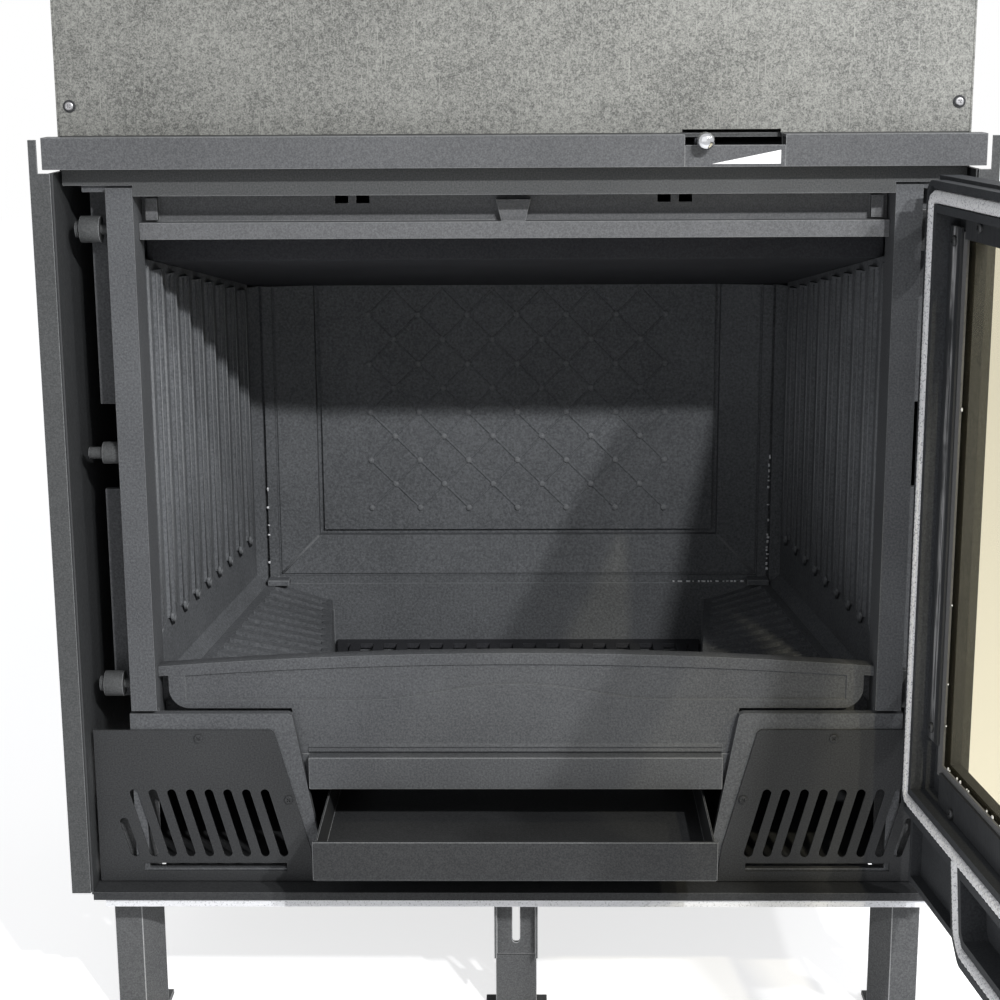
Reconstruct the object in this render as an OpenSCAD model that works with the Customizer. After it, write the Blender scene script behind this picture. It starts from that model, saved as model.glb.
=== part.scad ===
// Cast iron fireplace insert: a cast firebox and front in a sheet metal convection casing,
// on five legs, with a glazed door on side hinges and an ash drawer under the hearth.
// Millimetres, +Z up, -Y towards the room. Pieces are drawn in the body frame: X = 0 at the
// middle, Y = 0 at the face of the outer flanges and Z = 0 at the foot of the casing.

/* [Casing] */
// Width across the two outer flanges
front_w = 700; // [660:2:760]
// Height of the outer flanges
front_h = 587; // [575:1:600]
// Width of the face of an outer flange
flange_w = 15; // [12:0.5:20]
// Thickness of the flange sheet
flange_t = 2; // [1.5:0.1:3]
// Depth of the flange's return beside the casing
flange_return = 48; // [30:1:80]
// Width left on a flange beside the lintel
flange_arm_w = 6; // [4:0.5:8]
// Thickness of the casing sheet
casing_t = 1.5; // [1:0.1:2.5]
// Depth of the casing from the front to its back
casing_depth = 480; // [465:1:560]
// Height of the casing's top over its foot
casing_h = 740; // [700:5:900]
// Depth of the front panel of the hood behind the flanges
hood_setback = 30; // [29:0.5:34]

/* [Lintel] */
// Width of the lintel
lintel_w = 681; // [640:1:684]
// Height of the lintel's face
lintel_h = 23; // [21:0.5:24]
// Thickness of the lintel sheet
lintel_t = 2; // [1.5:0.1:2.5]
// Left end of the slot for the air control
slot_left = 124; // [110:1:130]
// Length of the slot for the air control
slot_len = 72; // [68:1:90]
// Depth of the slot cut into the lintel's face
slot_drop = 7.5; // [7:0.1:9]

/* [Cast front] */
// Setback of the posts' face, on which the door rope closes
seat_y = 20; // [19:0.5:21]
// Distance from the middle to the inner side of a post
post_in = 280; // [279:0.5:284]
// Width of a post
post_w = 20; // [18:0.5:21]
// Height of the posts' top
post_top = 551; // [548:1:552]
// Depth of the cast front from the posts' face to its back
frame_depth = 36; // [34:0.5:38]
// Thickness of the castings of the front
cast_t = 8; // [6:0.5:9]
// Height of the top of the lower wings
wing_top = 143.5; // [140:0.5:146]
// Distance from the middle to the upper corner of a wing
wing_top_x = 174; // [172:0.5:178]
// Distance from the middle to the lower corner of a wing
wing_low_x = 155; // [154.5:0.5:158]
// Height of the sill under the ash drawer
sill_top = 38; // [36:0.5:38.5]
// Height of the foot of the rail over the opening
rail_low = 545; // [543:0.5:547]
// Thickness of the rail over the opening
rail_t = 4; // [3:0.5:5]

/* [Vent plates] */
// Thickness of a vent plate
vent_t = 2; // [1.5:0.1:2.5]
// Height of the top of a vent plate
vent_top = 130.7; // [126:0.5:134]
// Number of long vent slots in a plate
vent_count = 8; // [6:1:8]
// Distance between neighbouring vent slots
vent_pitch = 14.8; // [13:0.1:15]
// Width of a vent slot
vent_slot_w = 7; // [5:0.5:8]

/* [Ash ledge and log retainer] */
// Half the width of the ash ledge
ledge_half = 162.7; // [150:0.1:163]
// Height of the foot of the ash ledge
ledge_low = 81.4; // [79:0.2:84]
// Height of the top of the ash ledge
ledge_top = 107.8; // [106:0.1:110]
// Half the width of the log retainer
retainer_half = 272; // [266:0.5:273]
// Height of the log retainer's rim at its ends
retainer_top = 180; // [178:0.5:186]
// Rise of the rim's arch at the middle
retainer_arch = 10; // [4:0.5:12]
// Depth of the log retainer's rim
retainer_rim = 13; // [10:0.5:18]

/* [Firebox] */
// Distance from the middle to the face of a side plate at the front
side_x_front = 287; // [285:0.5:289]
// Distance from the middle to the face of a side plate at the back
side_x_back = 252; // [248:0.5:256]
// Depth of the face of the back plate
back_y = 400; // [380:1:410]
// Thickness of the firebox plates
plate_t = 8; // [6:0.5:9]
// Height of the foot of the side plates' ribbed face
panel_low = 158; // [154:0.5:162]
// Height of the foot of the ribs
rib_low = 200; // [190:1:215]
// Number of ribs on a side plate
rib_count = 9; // [6:1:9]
// Distance between neighbouring ribs
rib_pitch = 36.7; // [30:0.1:36.8]
// Width of a rib
rib_w = 20; // [14:0.5:24]
// Height of a rib over its plate
rib_h = 5; // [3:0.5:7]
// Underside of the baffle at the front of the side plates
baffle_front_z = 497; // [485:1:500]
// Underside of the baffle at the back plate
baffle_back_z = 435; // [420:1:440]
// Height of the side grates at their outer edge
hearth_out_z = 146; // [144:0.5:146]
// Height of the side grates at the trough
hearth_in_z = 128; // [122:0.5:132]
// Half the width of the ash trough at the front
trough_front = 147; // [143:0.5:152]
// Half the width of the ash trough at the back
trough_back = 180; // [176:0.5:184]

/* [Flue and air] */
// Bore of the flue collar
flue_d = 180; // [150:1:200]
// Wall of the flue collar
flue_wall = 6; // [4:0.5:8]
// Height of the flue collar over the hood
flue_stub = 45; // [30:1:80]
// Distance of the flue's axis behind the front
flue_y = 250; // [230:1:270]
// Bore of a warm air spigot
spigot_d = 125; // [100:1:130]
// Distance from the middle to a warm air spigot's axis
spigot_x = 225; // [215:1:240]

/* [Door] */
// Half the width of the door
door_half = 304; // [302:0.5:305]
// Height of the door's foot
door_low = 22; // [20:0.5:26]
// Height of the door's top
door_top = 560; // [557:0.5:562]
// Height of the door's front face before the flanges
door_proud = 9; // [8:0.5:12]
// Thickness of the door's face
door_face_t = 8; // [7:0.5:9]
// Diameter of the rope
rope_d = 10; // [9:0.2:10.4]
// Distance from the middle to the rope's upright run
rope_x = 289; // [288:0.5:290]
// Height of the rope's top run
rope_top = 546.5; // [545:0.5:547]
// Height of the rope's run across the ash ledge
rope_mid = 96; // [94:0.5:98]
// Height of the rope's run under the ash drawer
rope_low = 33; // [32:0.2:34]
// Half the width of the window
glass_half = 245; // [200:1:250]
// Height of the foot of the window
glass_low = 138; // [130:1:180]
// Height of the top of the window
glass_top = 520; // [480:1:522]
// Thickness of the glass
glass_t = 4; // [3:0.5:5]
// Width of the glass behind the frame's edge
glass_lap = 12; // [8:0.5:13]
// Angle to which the door stands open
door_open = 96.75; // [0:0.25:110]
// Distance from the middle to the hinge axis
hinge_x = 314.4; // [314:0.1:315]
// Distance of the hinge axis before the flanges' face
hinge_proud = 5; // [4:0.1:6]
// Diameter of a hinge pin
hinge_pin_d = 8; // [6:0.5:9]

/* [Latch] */
// Diameter of a latch roller
roller_d = 20; // [16:0.5:21]
// Height of the upper roller
roller_high = 520; // [514:0.5:520]
// Height of the lower roller
roller_low = 165; // [163:0.5:176]
// Travel of the latch bar
latch_travel = 8; // [6:0.5:8]
// Height of the door handle's spindle
handle_z = 350; // [320:1:380]

/* [Ash drawer] */
// Half the width of the ash drawer
drawer_half = 152; // [140:0.5:153]
// Height of the ash drawer's foot
drawer_low = 40; // [39.5:0.1:41]
// Height of the ash drawer
drawer_h = 30; // [24:0.5:34]
// Depth of the ash drawer behind its front
drawer_depth = 340; // [280:1:350]
// Wall of the ash drawer
drawer_t = 1.5; // [1:0.1:3]
// Distance by which the ash drawer stands out
drawer_out = 80; // [0:1:200]

/* [Legs] */
// Height of the casing's foot over the floor
leg_h = 120; // [90:1:200]
// Thickness of a leg's sheet
leg_t = 3; // [2:0.5:4]
// Width of the middle leg
middle_w = 35; // [28:0.5:40]

/* [Hidden] */

$fn = 48;
// Cut that runs past a face, so that no skin is left
past = 1;
// Gap between two pieces that are bolted or laid on each other
seat = 0.3;
// Gap round a pin, screw or shaft
run = 0.08;
// Distance of the front legs behind the flanges, which sets the origin over the middle foot
foot_y = 44;

iron = "#4b4d50";
dark_iron = "#3c3e41";
zinc = "#a9aca8";
steel = "#8e9092";

half = front_w / 2;
casing_x = half - flange_w;
frame_back = seat_y + frame_depth;
wing_y = seat_y + vent_t;
post_out = post_in + post_w;
fin_out = post_out + 18;
fin_y = frame_back - 6;
lintel_low = front_h - lintel_h + 1.5;
lintel_top = lintel_low + lintel_h;
rail_y = seat_y;
rail_top = lintel_top - 0.2;
bar_top = rail_top - 13;
bar_y = rail_y + rail_t + seat;
tray_top = 3.2;

body_y = frame_back + seat;
side_y0 = body_y + 2;
side_y1 = back_y - 14;
side_slope = (side_x_front - side_x_back) / (side_y1 - side_y0);
baffle_slope = (baffle_front_z - baffle_back_z) / (back_y - side_y0);
pan_y = seat_y + 3;
grate_top = hearth_in_z - 39;
body_floor = drawer_low + drawer_h + 10;
shell_top = rail_low + 20;
side_angle = atan(side_slope);

rope_y = seat_y - rope_d / 2 - seat;
door_front = -door_proud;
door_back = door_front + door_face_t;
door_tip = rope_y + 2.6;
skirt_y = door_back + 8;
rope_low_x = wing_low_x + 11;
rope_mid_x = rope_low_x + 11;
glass_y = door_back + seat;
glass_back = glass_y + glass_t;
stem_d = 5;
knob_z = lintel_top - slot_drop + 0.5 + stem_d / 2;
knob_x = slot_left + 14;
knob_d = 12.7;

roller_y = fin_y - roller_d / 2 - 6;
roller_x = post_out + 9;
roller_w = 13;
bar_x = -door_half - seat;
bar_w = 8;
hook_reach = roller_y + roller_d / 2 + 0.4;
hook_t = 4;
handle_x = -(rope_x - 16);
casing_back_y = casing_depth - casing_t;

// Depth at which the side plate's face stands at a distance from the middle
function side_x(y) = side_x_front - side_slope * (y - side_y0);
// Half the width of the ash trough at a depth
function trough_x(y) = trough_front + (trough_back - trough_front) * (y - body_y) / (back_y - body_y);
// Height of the baffle's underside at a depth
function baffle_z(y) = baffle_front_z - baffle_slope * (y - side_y0);

// Puts the body frame over the origin, which lies on the floor under the middle foot
module place() {
    translate([0, -foot_y, leg_h]) children();
}

// Block between two corners
module block(x, y, z) {
    translate([x[0], y[0], z[0]]) cube([x[1] - x[0], y[1] - y[0], z[1] - z[0]]);
}

// Outline drawn in X and Z, standing between two depths
module upright(y) {
    translate([0, y[1], 0]) rotate([90, 0, 0]) linear_extrude(y[1] - y[0]) children();
}

// Outline drawn in Y and Z, running between two distances across
module across(x) {
    translate([x[0], 0, 0]) rotate([90, 0, 90]) linear_extrude(x[1] - x[0]) children();
}

// The left and the right copy of a piece drawn on the right
module both() {
    children();
    mirror([1, 0, 0]) children();
}

module on_left() {
    mirror([1, 0, 0]) children();
}

// Round rod along Y
module rod_y(x, z, y, d) {
    translate([x, y[0], z]) rotate([-90, 0, 0]) cylinder(h = y[1] - y[0], d = d);
}

// Round rod along X
module rod_x(y, z, x, d) {
    translate([x[0], y, z]) rotate([0, 90, 0]) cylinder(h = x[1] - x[0], d = d);
}

// Straight stroke with round ends
module stroke(a, b, w) {
    turn = atan2(b[1] - a[1], b[0] - a[0]);
    polygon(concat(
        [for (at = [90 : 15 : 270]) a + w / 2 * [cos(turn + at), sin(turn + at)]],
        [for (at = [-90 : 15 : 90]) b + w / 2 * [cos(turn + at), sin(turn + at)]]
    ));
}

// Pan head screw along Y with its head at a depth
module screw(x, z, y, d = 7, length = 8) {
    rod_y(x, z, [y - 1.6, y], d);
    rod_y(x, z, [y - 0.1, y + length], d * 0.5);
}

// Turns a piece of the door from shut to the angle at which it stands open
module hung() {
    translate([hinge_x, -hinge_proud, 0]) rotate([0, 0, door_open])
        translate([-hinge_x, hinge_proud, 0]) children();
}

// Cast front
wing_outline = [
    [post_out + 2, tray_top], [post_out + 2, wing_top], [wing_top_x + 4, wing_top],
    [wing_top_x + 1, wing_top - 1.5], [wing_top_x, wing_top - 5], [wing_low_x + 1, sill_top],
    [wing_low_x, tray_top]
];

module wing_half() {
    difference() {
        upright([wing_y, wing_y + cast_t]) polygon(wing_outline);
        upright([wing_y - past, wing_y + cast_t + past]) polygon([
            [post_out - 8, 14], [post_out - 8, 96], [wing_top_x + 22, 96], [wing_low_x + 20, 14]
        ]);
    }
}

module front_half() {
    block([post_in, post_out], [seat_y, frame_back], [wing_top + 3, post_top]);
    block([post_in, post_out], [wing_y + cast_t - 1, frame_back], [wing_top - 24, post_top]);
    difference() {
        block([post_in, fin_out], [fin_y, frame_back], [wing_top + 6, post_top]);
        block([post_out, fin_out + past], [fin_y - past, frame_back + past],
              [handle_z - 32, handle_z + 35]);
    }
    upright([fin_y, frame_back]) polygon([
        [post_in + 1, wing_top], [retainer_half - 6, wing_top + 16],
        [retainer_half - 6, retainer_top - rim_drop - seat], [post_in + 1, retainer_top - rim_drop - seat]
    ]);
    wing_half();
}

module front_frame() color(iron) place() difference() {
    union() {
        both() front_half();
        block([-wing_low_x - 4, wing_low_x + 4], [seat_y, wing_y + cast_t], [tray_top, sill_top]);
        difference() {
            block([-fin_out, fin_out], [bar_y, frame_back], [rail_low + 3, bar_top]);
            for (port = [-1, 0, 1])
                block([port * 120 - 35, port * 120 + 35], [bar_y + 10, frame_back - 8],
                      [rail_low, bar_top + past]);
        }
    }
    panel_screw_holes();
}

// Rail over the opening, with lower stretch between the posts
module header_rail() color(iron) place() difference() {
    union() {
        upright([rail_y, rail_y + rail_t]) polygon([
            [-casing_x + 4, rail_top], [-casing_x + 4, rail_low + 8], [-post_in + seat, rail_low + 8],
            [-post_in + seat, rail_low], [post_in - seat, rail_low], [post_in - seat, rail_low + 8],
            [casing_x - 4, rail_low + 8], [casing_x - 4, rail_top]
        ]);
        block([-casing_x + 4, casing_x - 4], [rail_y + 1, frame_back + 6], [rail_top - 3, rail_top]);
    }
    block([slot_left, slot_left + slot_len], [rail_y - past, hood_setback + 5],
          [knob_z - 5, rail_top + past]);
}

// Folded lintel in three lengths, which meet under the ends of the control's slot
module lintel() color(iron) place() difference() {
    union() {
        block([-lintel_w / 2, lintel_w / 2], [0, lintel_t], [lintel_low, lintel_top]);
        block([-lintel_w / 2, lintel_w / 2], [0, rail_y - seat], [lintel_top - lintel_t, lintel_top]);
        block([-lintel_w / 2, lintel_w / 2], [0, 10], [lintel_low, lintel_low + lintel_t]);
        both() block([lintel_w / 2 - lintel_t, lintel_w / 2], [0, rail_y - seat],
                     [lintel_low, lintel_top]);
    }
    block([slot_left, slot_left + slot_len], [-past, rail_y], [lintel_top - slot_drop, lintel_top + past]);
    for (joint = [slot_left - seam, slot_left + slot_len])
        block([joint, joint + seam], [-past, rail_y], [lintel_low - past, lintel_top + past]);
}

// Outer flange, cut back beside the lintel
module flange() {
    step = lintel_low - 2.5;
    upright([0, flange_t]) polygon([
        [casing_x, 2], [half, 2], [half, front_h], [half - flange_arm_w, front_h],
        [half - flange_arm_w, step], [casing_x, step]
    ]);
    block([casing_x, casing_x + flange_t], [0, flange_return], [2, step]);
}

module flange_right() color(iron) place() flange();
module flange_left() color(iron) place() on_left() flange();

// Floor of the casing, open round the front legs and over the air inlets at the rear
module base_tray() color(dark_iron) place() difference() {
    inner = casing_x - casing_t - seat;
    union() {
        block([-inner, inner], [0, casing_back_y - seat], [0, tray_top - 0.2]);
        block([-inner, inner], [0, 2], [-3.7, tray_top - 0.2]);
        both() block([inner - casing_t, inner], [60, casing_back_y - seat], [0, 20]);
    }
    both() block([leg_in - 1, leg_out + seat], [leg_y - seat, foot_y + 22], [-past, tray_top]);
    both() block([leg_in - 40, leg_in + 20], [230, 300], [-past, tray_top]);
    block([-middle_w / 2 - 1, middle_w / 2 + 1], [wing_y + cast_t - past, foot_y + 8],
          [-past, tray_top]);
}

module base_seal() color("#d8d8d4") place()
    block([-casing_x + 11, casing_x - 11], [2 + seat, 11], [-10, -seat]);

// Vent plate with slanted slots and a low window
vent_low = [163, 32];
vent_lean = 13.5;
vent_first = 197.7;
vent_high_z = 78;
vent_low_z = 28;
module vent_plate() {
    upright([seat_y, wing_y - 0.1]) difference() {
        polygon([
            [casing_x - 4, 4], [casing_x - 4, vent_top], [wing_top_x + 18, vent_top],
            [wing_top_x + 15, vent_top - 2], vent_low, [vent_low[0] - 3, 4]
        ]);
        for (i = [0 : vent_count - 1])
            stroke([vent_first - vent_lean + i * vent_pitch, vent_low_z],
                   [vent_first + i * vent_pitch, vent_high_z], vent_slot_w);
        stroke([vent_first - vent_lean + vent_count * vent_pitch, vent_low_z],
               [vent_first - vent_lean / 2 + vent_count * vent_pitch + 1, 54], vent_slot_w);
        translate([wing_top_x + 8, 12.4]) square([114, 6.8]);
        for (spot = vent_screws) translate(spot) circle(d = 3.8);
    }
}
vent_screws = [[179, 73], [248.5, 124]];

module vent_plate_right() color(iron) place() vent_plate();
module vent_plate_left() color(iron) place() on_left() vent_plate();

module panel_screw_holes() {
    both() for (spot = vent_screws) rod_y(spot[0], spot[1], [seat_y, wing_y + 7], 3.5 + 2 * run);
}

hood_screws = [casing_x - 10, 610];
module panel_screws() color(steel) place() both() {
    for (spot = vent_screws) screw(spot[0], spot[1], seat_y - 0.1, 7, 7.5);
    screw(hood_screws[0], hood_screws[1], hood_setback - 0.1, 8, 6);
}

// Ash ledge: the bar over the drawer, with ears behind the wings
module ash_ledge() color(iron) place() {
    back = wing_y + cast_t + seat;
    block([-ledge_half, ledge_half], [seat_y, back + 6], [ledge_low, ledge_top]);
    block([-wing_top_x - 2, wing_top_x + 2], [back, back + 6], [ledge_low + 4, ledge_top]);
    block([-ledge_half, ledge_half], [back, body_y + 4 - seat], [ledge_top - 8, ledge_top]);
}

// Angle rails on which the ash drawer slides
module pan_runners() color(steel) place() both() {
    rail_in = drawer_half - 14;
    block([rail_in, rail_in + 14], [wing_y + cast_t + seat, drawer_depth + 40], [tray_top, tray_top + 2]);
    block([rail_in, rail_in + 2], [wing_y + cast_t + seat, drawer_depth + 40], [tray_top, drawer_low - seat]);
    block([rail_in, rail_in + 10], [wing_y + cast_t + seat, drawer_depth + 40],
          [drawer_low - seat - 2, drawer_low - seat]);
}

// Arch of the log retainer's rim as a circle through its two ends
arch_r = (pow(retainer_half, 2) + pow(retainer_arch, 2)) / (2 * retainer_arch);
module under_arch(top, foot, side) {
    intersection() {
        translate([-side, foot]) square([2 * side, top - foot + retainer_arch + 1]);
        translate([0, top + retainer_arch - arch_r]) circle(r = arch_r, $fn = 720);
    }
}

retainer_y = wing_y + cast_t + 1;
retainer_t = 7;
rim_drop = 9;
// Face of the log retainer: wide over the wings and narrow between them
module retainer_face() {
    corner = 16;
    low = wing_top + 1.5;
    difference() {
        under_arch(retainer_top, low, retainer_half);
        both() difference() {
            translate([retainer_half - corner, low - past]) square([corner + past, corner + past]);
            translate([retainer_half - corner, low + corner]) circle(r = corner);
        }
    }
    polygon([
        [-wing_top_x - 2, low + 1], [wing_top_x + 2, low + 1],
        [wing_low_x + 14, ledge_top + seat], [-wing_low_x - 14, ledge_top + seat]
    ]);
}

// Sunk field of the log retainer, with a wave along its foot
module retainer_field() {
    wave_half = 119;
    wave_h = 13;
    foot = wing_top + 8.5;
    difference() {
        under_arch(retainer_top - rim_drop, foot, retainer_half - 13);
        polygon([for (x = [-wave_half : 7 : wave_half])
                     [x, foot + wave_h / 2 * (1 + cos(180 * x / wave_half))],
                 [wave_half, foot - past], [-wave_half, foot - past]]);
    }
}

module log_retainer() color(iron) place() {
    difference() {
        upright([retainer_y, retainer_y + retainer_t]) retainer_face();
        upright([retainer_y - past, retainer_y + 2]) retainer_field();
    }
    upright([retainer_y, retainer_y + retainer_rim]) difference() {
        under_arch(retainer_top, retainer_top - rim_drop, post_in - seat);
        under_arch(retainer_top - rim_drop + 1, retainer_top - 2 * rim_drop, post_in + 20);
    }
    for (line = [0, 1])
        across([-wing_low_x - 8, wing_low_x + 8]) translate([retainer_y, ledge_top + 2.2 + line * 3.6])
            circle(r = 1.5, $fn = 16);
}

// Firebox lining: side plate with ribs, and borders folded inwards at its foot and back
border = 8;
border_w = 12;
module side_plate() {
    length = (side_y1 - side_y0) / cos(side_angle);
    rise = baffle_front_z - panel_low;
    fall = baffle_slope * (side_y1 - side_y0);
    translate([side_x_front, side_y0, panel_low]) rotate([0, 0, side_angle]) {
        across([0, plate_t]) polygon([[0, -1], [0, rise], [length + 1, rise - fall], [length + 1, -1]]);
        for (i = [0 : rib_count - 1])
            rib(9 + i * rib_pitch, rise - fall * (9 + i * rib_pitch) / length);
        upright([0, length + border_w])
            polygon([[1, 0], [plate_t - 0.5, 0], [plate_t - 0.5, -border_w], [-border, -border_w]]);
        translate([0, 0, 1 - border_w]) linear_extrude(rise - fall + border_w - 4) polygon([
            [1, length], [plate_t - 0.5, length], [plate_t - 0.5, length + border_w],
            [-border, length + border_w]
        ]);
    }
}

// Rounded rib, sunk a little into its plate
module rib(y, top) {
    span = acos(1 - 2 * rib_h / rib_w);
    translate([0, y, rib_low - panel_low]) linear_extrude(top - rib_low + panel_low - 6)
        polygon(concat(
            [[past, rib_w / 2 * sin(span)]],
            [for (at = [span : -span / 4 : -span - 0.1])
                 [rib_w / 2 - rib_h - rib_w / 2 * cos(at), rib_w / 2 * sin(at)]],
            [[past, -rib_w / 2 * sin(span)]]
        ));
}

module side_plate_right() color(dark_iron) place() side_plate();
module side_plate_left() color(dark_iron) place() on_left() side_plate();

// Back plate with a bevelled border round its sunk field
module back_plate() color(dark_iron) place() {
    low = hearth_out_z - 4;
    high = baffle_z(back_y) - 1;
    field_half = side_x_back - 64;
    field_low = low + 54;
    wide = side_x(back_y + plate_t + 10) + plate_t;
    difference() {
        block([-wide, wide], [back_y, back_y + plate_t + 10], [low, high]);
        hull() {
            block([-field_half - 46, field_half + 46], [back_y - past, back_y], [low + 13, high + past]);
            block([-field_half, field_half], [back_y + 10, back_y + 10.5], [field_low, high + past]);
        }
    }
}

// Hearth casting: sloping shelves for the side grates and the ash trough between them
module hearth_outline(grow) {
    polygon([
        [-side_x(body_y) - grow, body_y + 4], [side_x(body_y) + grow, body_y + 4],
        [side_x(back_y) + grow, back_y + 10], [-side_x(back_y) - grow, back_y + 10]
    ]);
}

// Outline between two distances from the middle, each given at the front and at the back
module taper(y, near, far) {
    polygon([[near[0], y[0]], [far[0], y[0]], [far[1], y[1]], [near[1], y[1]]]);
}

// The trough's outline, set in from its walls
module trough_outline(y, inset) {
    taper(y, [-trough_x(y[0]) + inset, -trough_x(y[1]) + inset], [trough_x(y[0]) - inset, trough_x(y[1]) - inset]);
}

trough_y = [body_y + 12, back_y - 2];
grate_floor = hearth_in_z - 10;
grate_y = [trough_y[0] + seat, trough_y[1] - seat];
grate_bar_t = 5;
function grate_out(y) = side_x(y) - border - 0.5;
module hearth_base() color(dark_iron) place() difference() {
    translate([0, 0, body_floor + seat]) linear_extrude(hearth_out_z - seat - body_floor - seat)
        hearth_outline(-2);
    block([-half, half], [back_y - seat, back_y + 20], [hearth_out_z - 4 - seat, hearth_out_z + past]);
    translate([0, 0, grate_top - grate_bar_t]) linear_extrude(half) trough_outline(trough_y, 0);
    translate([0, 0, body_floor - past]) linear_extrude(half)
        trough_outline([trough_y[0] + 12, trough_y[1] - 12], 12);
    both() translate([0, 0, grate_floor]) linear_extrude(half) taper(
        trough_y, [trough_front - 5, trough_front - 5],
        [grate_out(trough_y[0]) + seat, grate_out(trough_y[1]) + seat]
    );
    both() block([trough_back + 8, side_x_back - 24], [body_y + 20, back_y - 10],
                 [body_floor - past, grate_floor - 12]);
}

// Side grate: sloping slats between a low rim at the trough and a high one at the side plate
module side_grate() {
    slat_pitch = 20;
    slat_w = 11;
    rim = 9;
    inner_top = hearth_in_z + 1.5;
    low = grate_floor + seat;
    slats = floor((grate_y[1] - grate_y[0] - slat_w) / slat_pitch);
    translate([0, 0, low]) linear_extrude(inner_top - low) taper(
        grate_y, [trough_x(grate_y[0]) + 1, trough_x(grate_y[1]) + 1],
        [trough_x(grate_y[0]) + rim + 1, trough_x(grate_y[1]) + rim + 1]
    );
    translate([0, 0, low]) linear_extrude(hearth_out_z - low) taper(
        grate_y, [grate_out(grate_y[0]) - rim, grate_out(grate_y[1]) - rim],
        [grate_out(grate_y[0]), grate_out(grate_y[1])]
    );
    for (i = [0 : slats]) {
        y = grate_y[0] + i * (grate_y[1] - grate_y[0] - slat_w) / slats;
        near = trough_x(y) + rim - 2;
        far = grate_out(y) - rim + 2;
        foot = i % slats == 0 ? low : inner_top - 6;
        upright([y, y + slat_w]) polygon([
            [near, foot], [near, inner_top], [far, hearth_out_z],
            [far, i % slats == 0 ? low : hearth_out_z - 6]
        ]);
    }
}

module side_grate_right() color(dark_iron) place() side_grate();
module side_grate_left() color(dark_iron) place() on_left() side_grate();

// Centre grate with bars along the depth, resting in the trough's floor
module centre_grate() color(dark_iron) place() {
    y0 = trough_y[0] + 2;
    y1 = trough_y[1] - 2;
    bars = 15;
    step = 2 * trough_back / (bars + 1);
    translate([0, 0, grate_top - grate_bar_t + seat]) linear_extrude(grate_bar_t) {
        difference() {
            trough_outline([y0, y1], 3);
            trough_outline([y0 + 14, y1 - 14], 13);
        }
        intersection() {
            trough_outline([y0, y1], 4);
            for (i = [1 : bars])
                translate([i * step - trough_back - 5, y0 + 1]) square([10, y1 - y0 - 2]);
        }
    }
}

// Clips that hold the side grates down at the back
module grate_clips() color(iron) place() both() {
    far = side_x(back_y) - border - 1;
    block([far - 21, far], [back_y - 16, back_y - 2 - seat], [hearth_out_z + seat, hearth_out_z + 6]);
}

// Deflector that turns the window's air down over the glass
module air_deflector() color(iron) place() {
    wide = post_in - seat;
    low = rail_low - 33.5;
    lip_y = fin_y - 11.5;
    difference() {
        union() {
            block([-wide, wide], [lip_y, lip_y + 3], [low, low + 12.5]);
            block([-wide, wide], [lip_y, frame_back - 1], [low + 9.5, low + 12.5]);
            block([-wide, wide], [frame_back - 4, frame_back - 1],
                  [low + 9.5, rail_low + 3 - seat]);
        }
        for (notch = [-1, 1]) for (twin = [-1, 1])
            block([notch * 121 + twin * 8 - 5, notch * 121 + twin * 8 + 5], [frame_back - 5, frame_back],
                  [rail_low - 8, rail_low + past]);
    }
    upright([lip_y + 6, frame_back - 3]) polygon([
        [-9, low + 12], [9, low + 12], [13, rail_low - 5], [-13, rail_low - 5]
    ]);
    both() block([wide - 13, wide - 4], [lip_y + 6, frame_back - 3], [low + 14, rail_low - 3]);
}

// Smoke baffle lying on the side plates' sloping tops, with its front turned up
baffle_nose = rail_low - 33;
module smoke_baffle() color(dark_iron) place() {
    y0 = side_y0 + 46;
    y1 = back_y + 6;
    reach = plate_t - 2;
    intersection() {
        across([-half, half]) polygon([
            [y0, baffle_z(y0) + seat], [y0, baffle_nose], [y0 + plate_t - 2, baffle_nose],
            [y0 + plate_t, baffle_z(y0) + seat + plate_t], [y1, baffle_z(y1) + seat + plate_t], [y1, baffle_z(y1) + seat]
        ]);
        linear_extrude(front_h) polygon([
            [-side_x(y0) - reach, y0], [side_x(y0) + reach, y0],
            [side_x(y1) + reach, y1], [-side_x(y1) - reach, y1]
        ]);
    }
}

// Cast firebox body behind the lining, bolted up from plates: sides, bearers, back and rear foot
shell_gap = plate_t / cos(side_angle) + seat;
shell_t = 7;
seam = 0.2;
body_back = back_y + plate_t + 10 + seat;
module shell_outline(grow, y0, y1) {
    taper([y0, y1], [-side_x(y0) - shell_gap - grow, -side_x(y1) - shell_gap - grow],
          [side_x(y0) + shell_gap + grow, side_x(y1) + shell_gap + grow]);
}

module firebox_body() color(dark_iron) place() {
    roof_low = shell_top - shell_t - seam;
    y0 = body_y;
    y1 = body_back - seam;
    both() {
        translate([0, 0, body_floor]) linear_extrude(roof_low - body_floor) taper(
            [y0, y1], [side_x(y0) + shell_gap, side_x(y1) + shell_gap],
            [side_x(y0) + shell_gap + shell_t, side_x(y1) + shell_gap + shell_t]
        );
        translate([0, 0, body_floor - seam - 6]) linear_extrude(6) taper(
            [y0, body_back + shell_t], [trough_front - 8, trough_front - 8],
            [side_x(y0) + shell_gap + shell_t, side_x(body_back + shell_t) + shell_gap + shell_t]
        );
    }
    wide = side_x(body_back) + shell_gap + shell_t;
    block([-wide, wide], [body_back, body_back + shell_t], [body_floor, roof_low]);
    block([-150, 150], [body_back, body_back + shell_t], [tray_top, body_floor - seam - 6 - seam]);
}

module firebox_roof() color(dark_iron) place() difference() {
    translate([0, 0, shell_top - shell_t]) linear_extrude(shell_t)
        shell_outline(shell_t, body_y, body_back + shell_t);
    translate([0, flue_y, shell_top - shell_t - past]) cylinder(d = flue_d, h = shell_t + 2 * past, $fn = 96);
}

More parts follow.
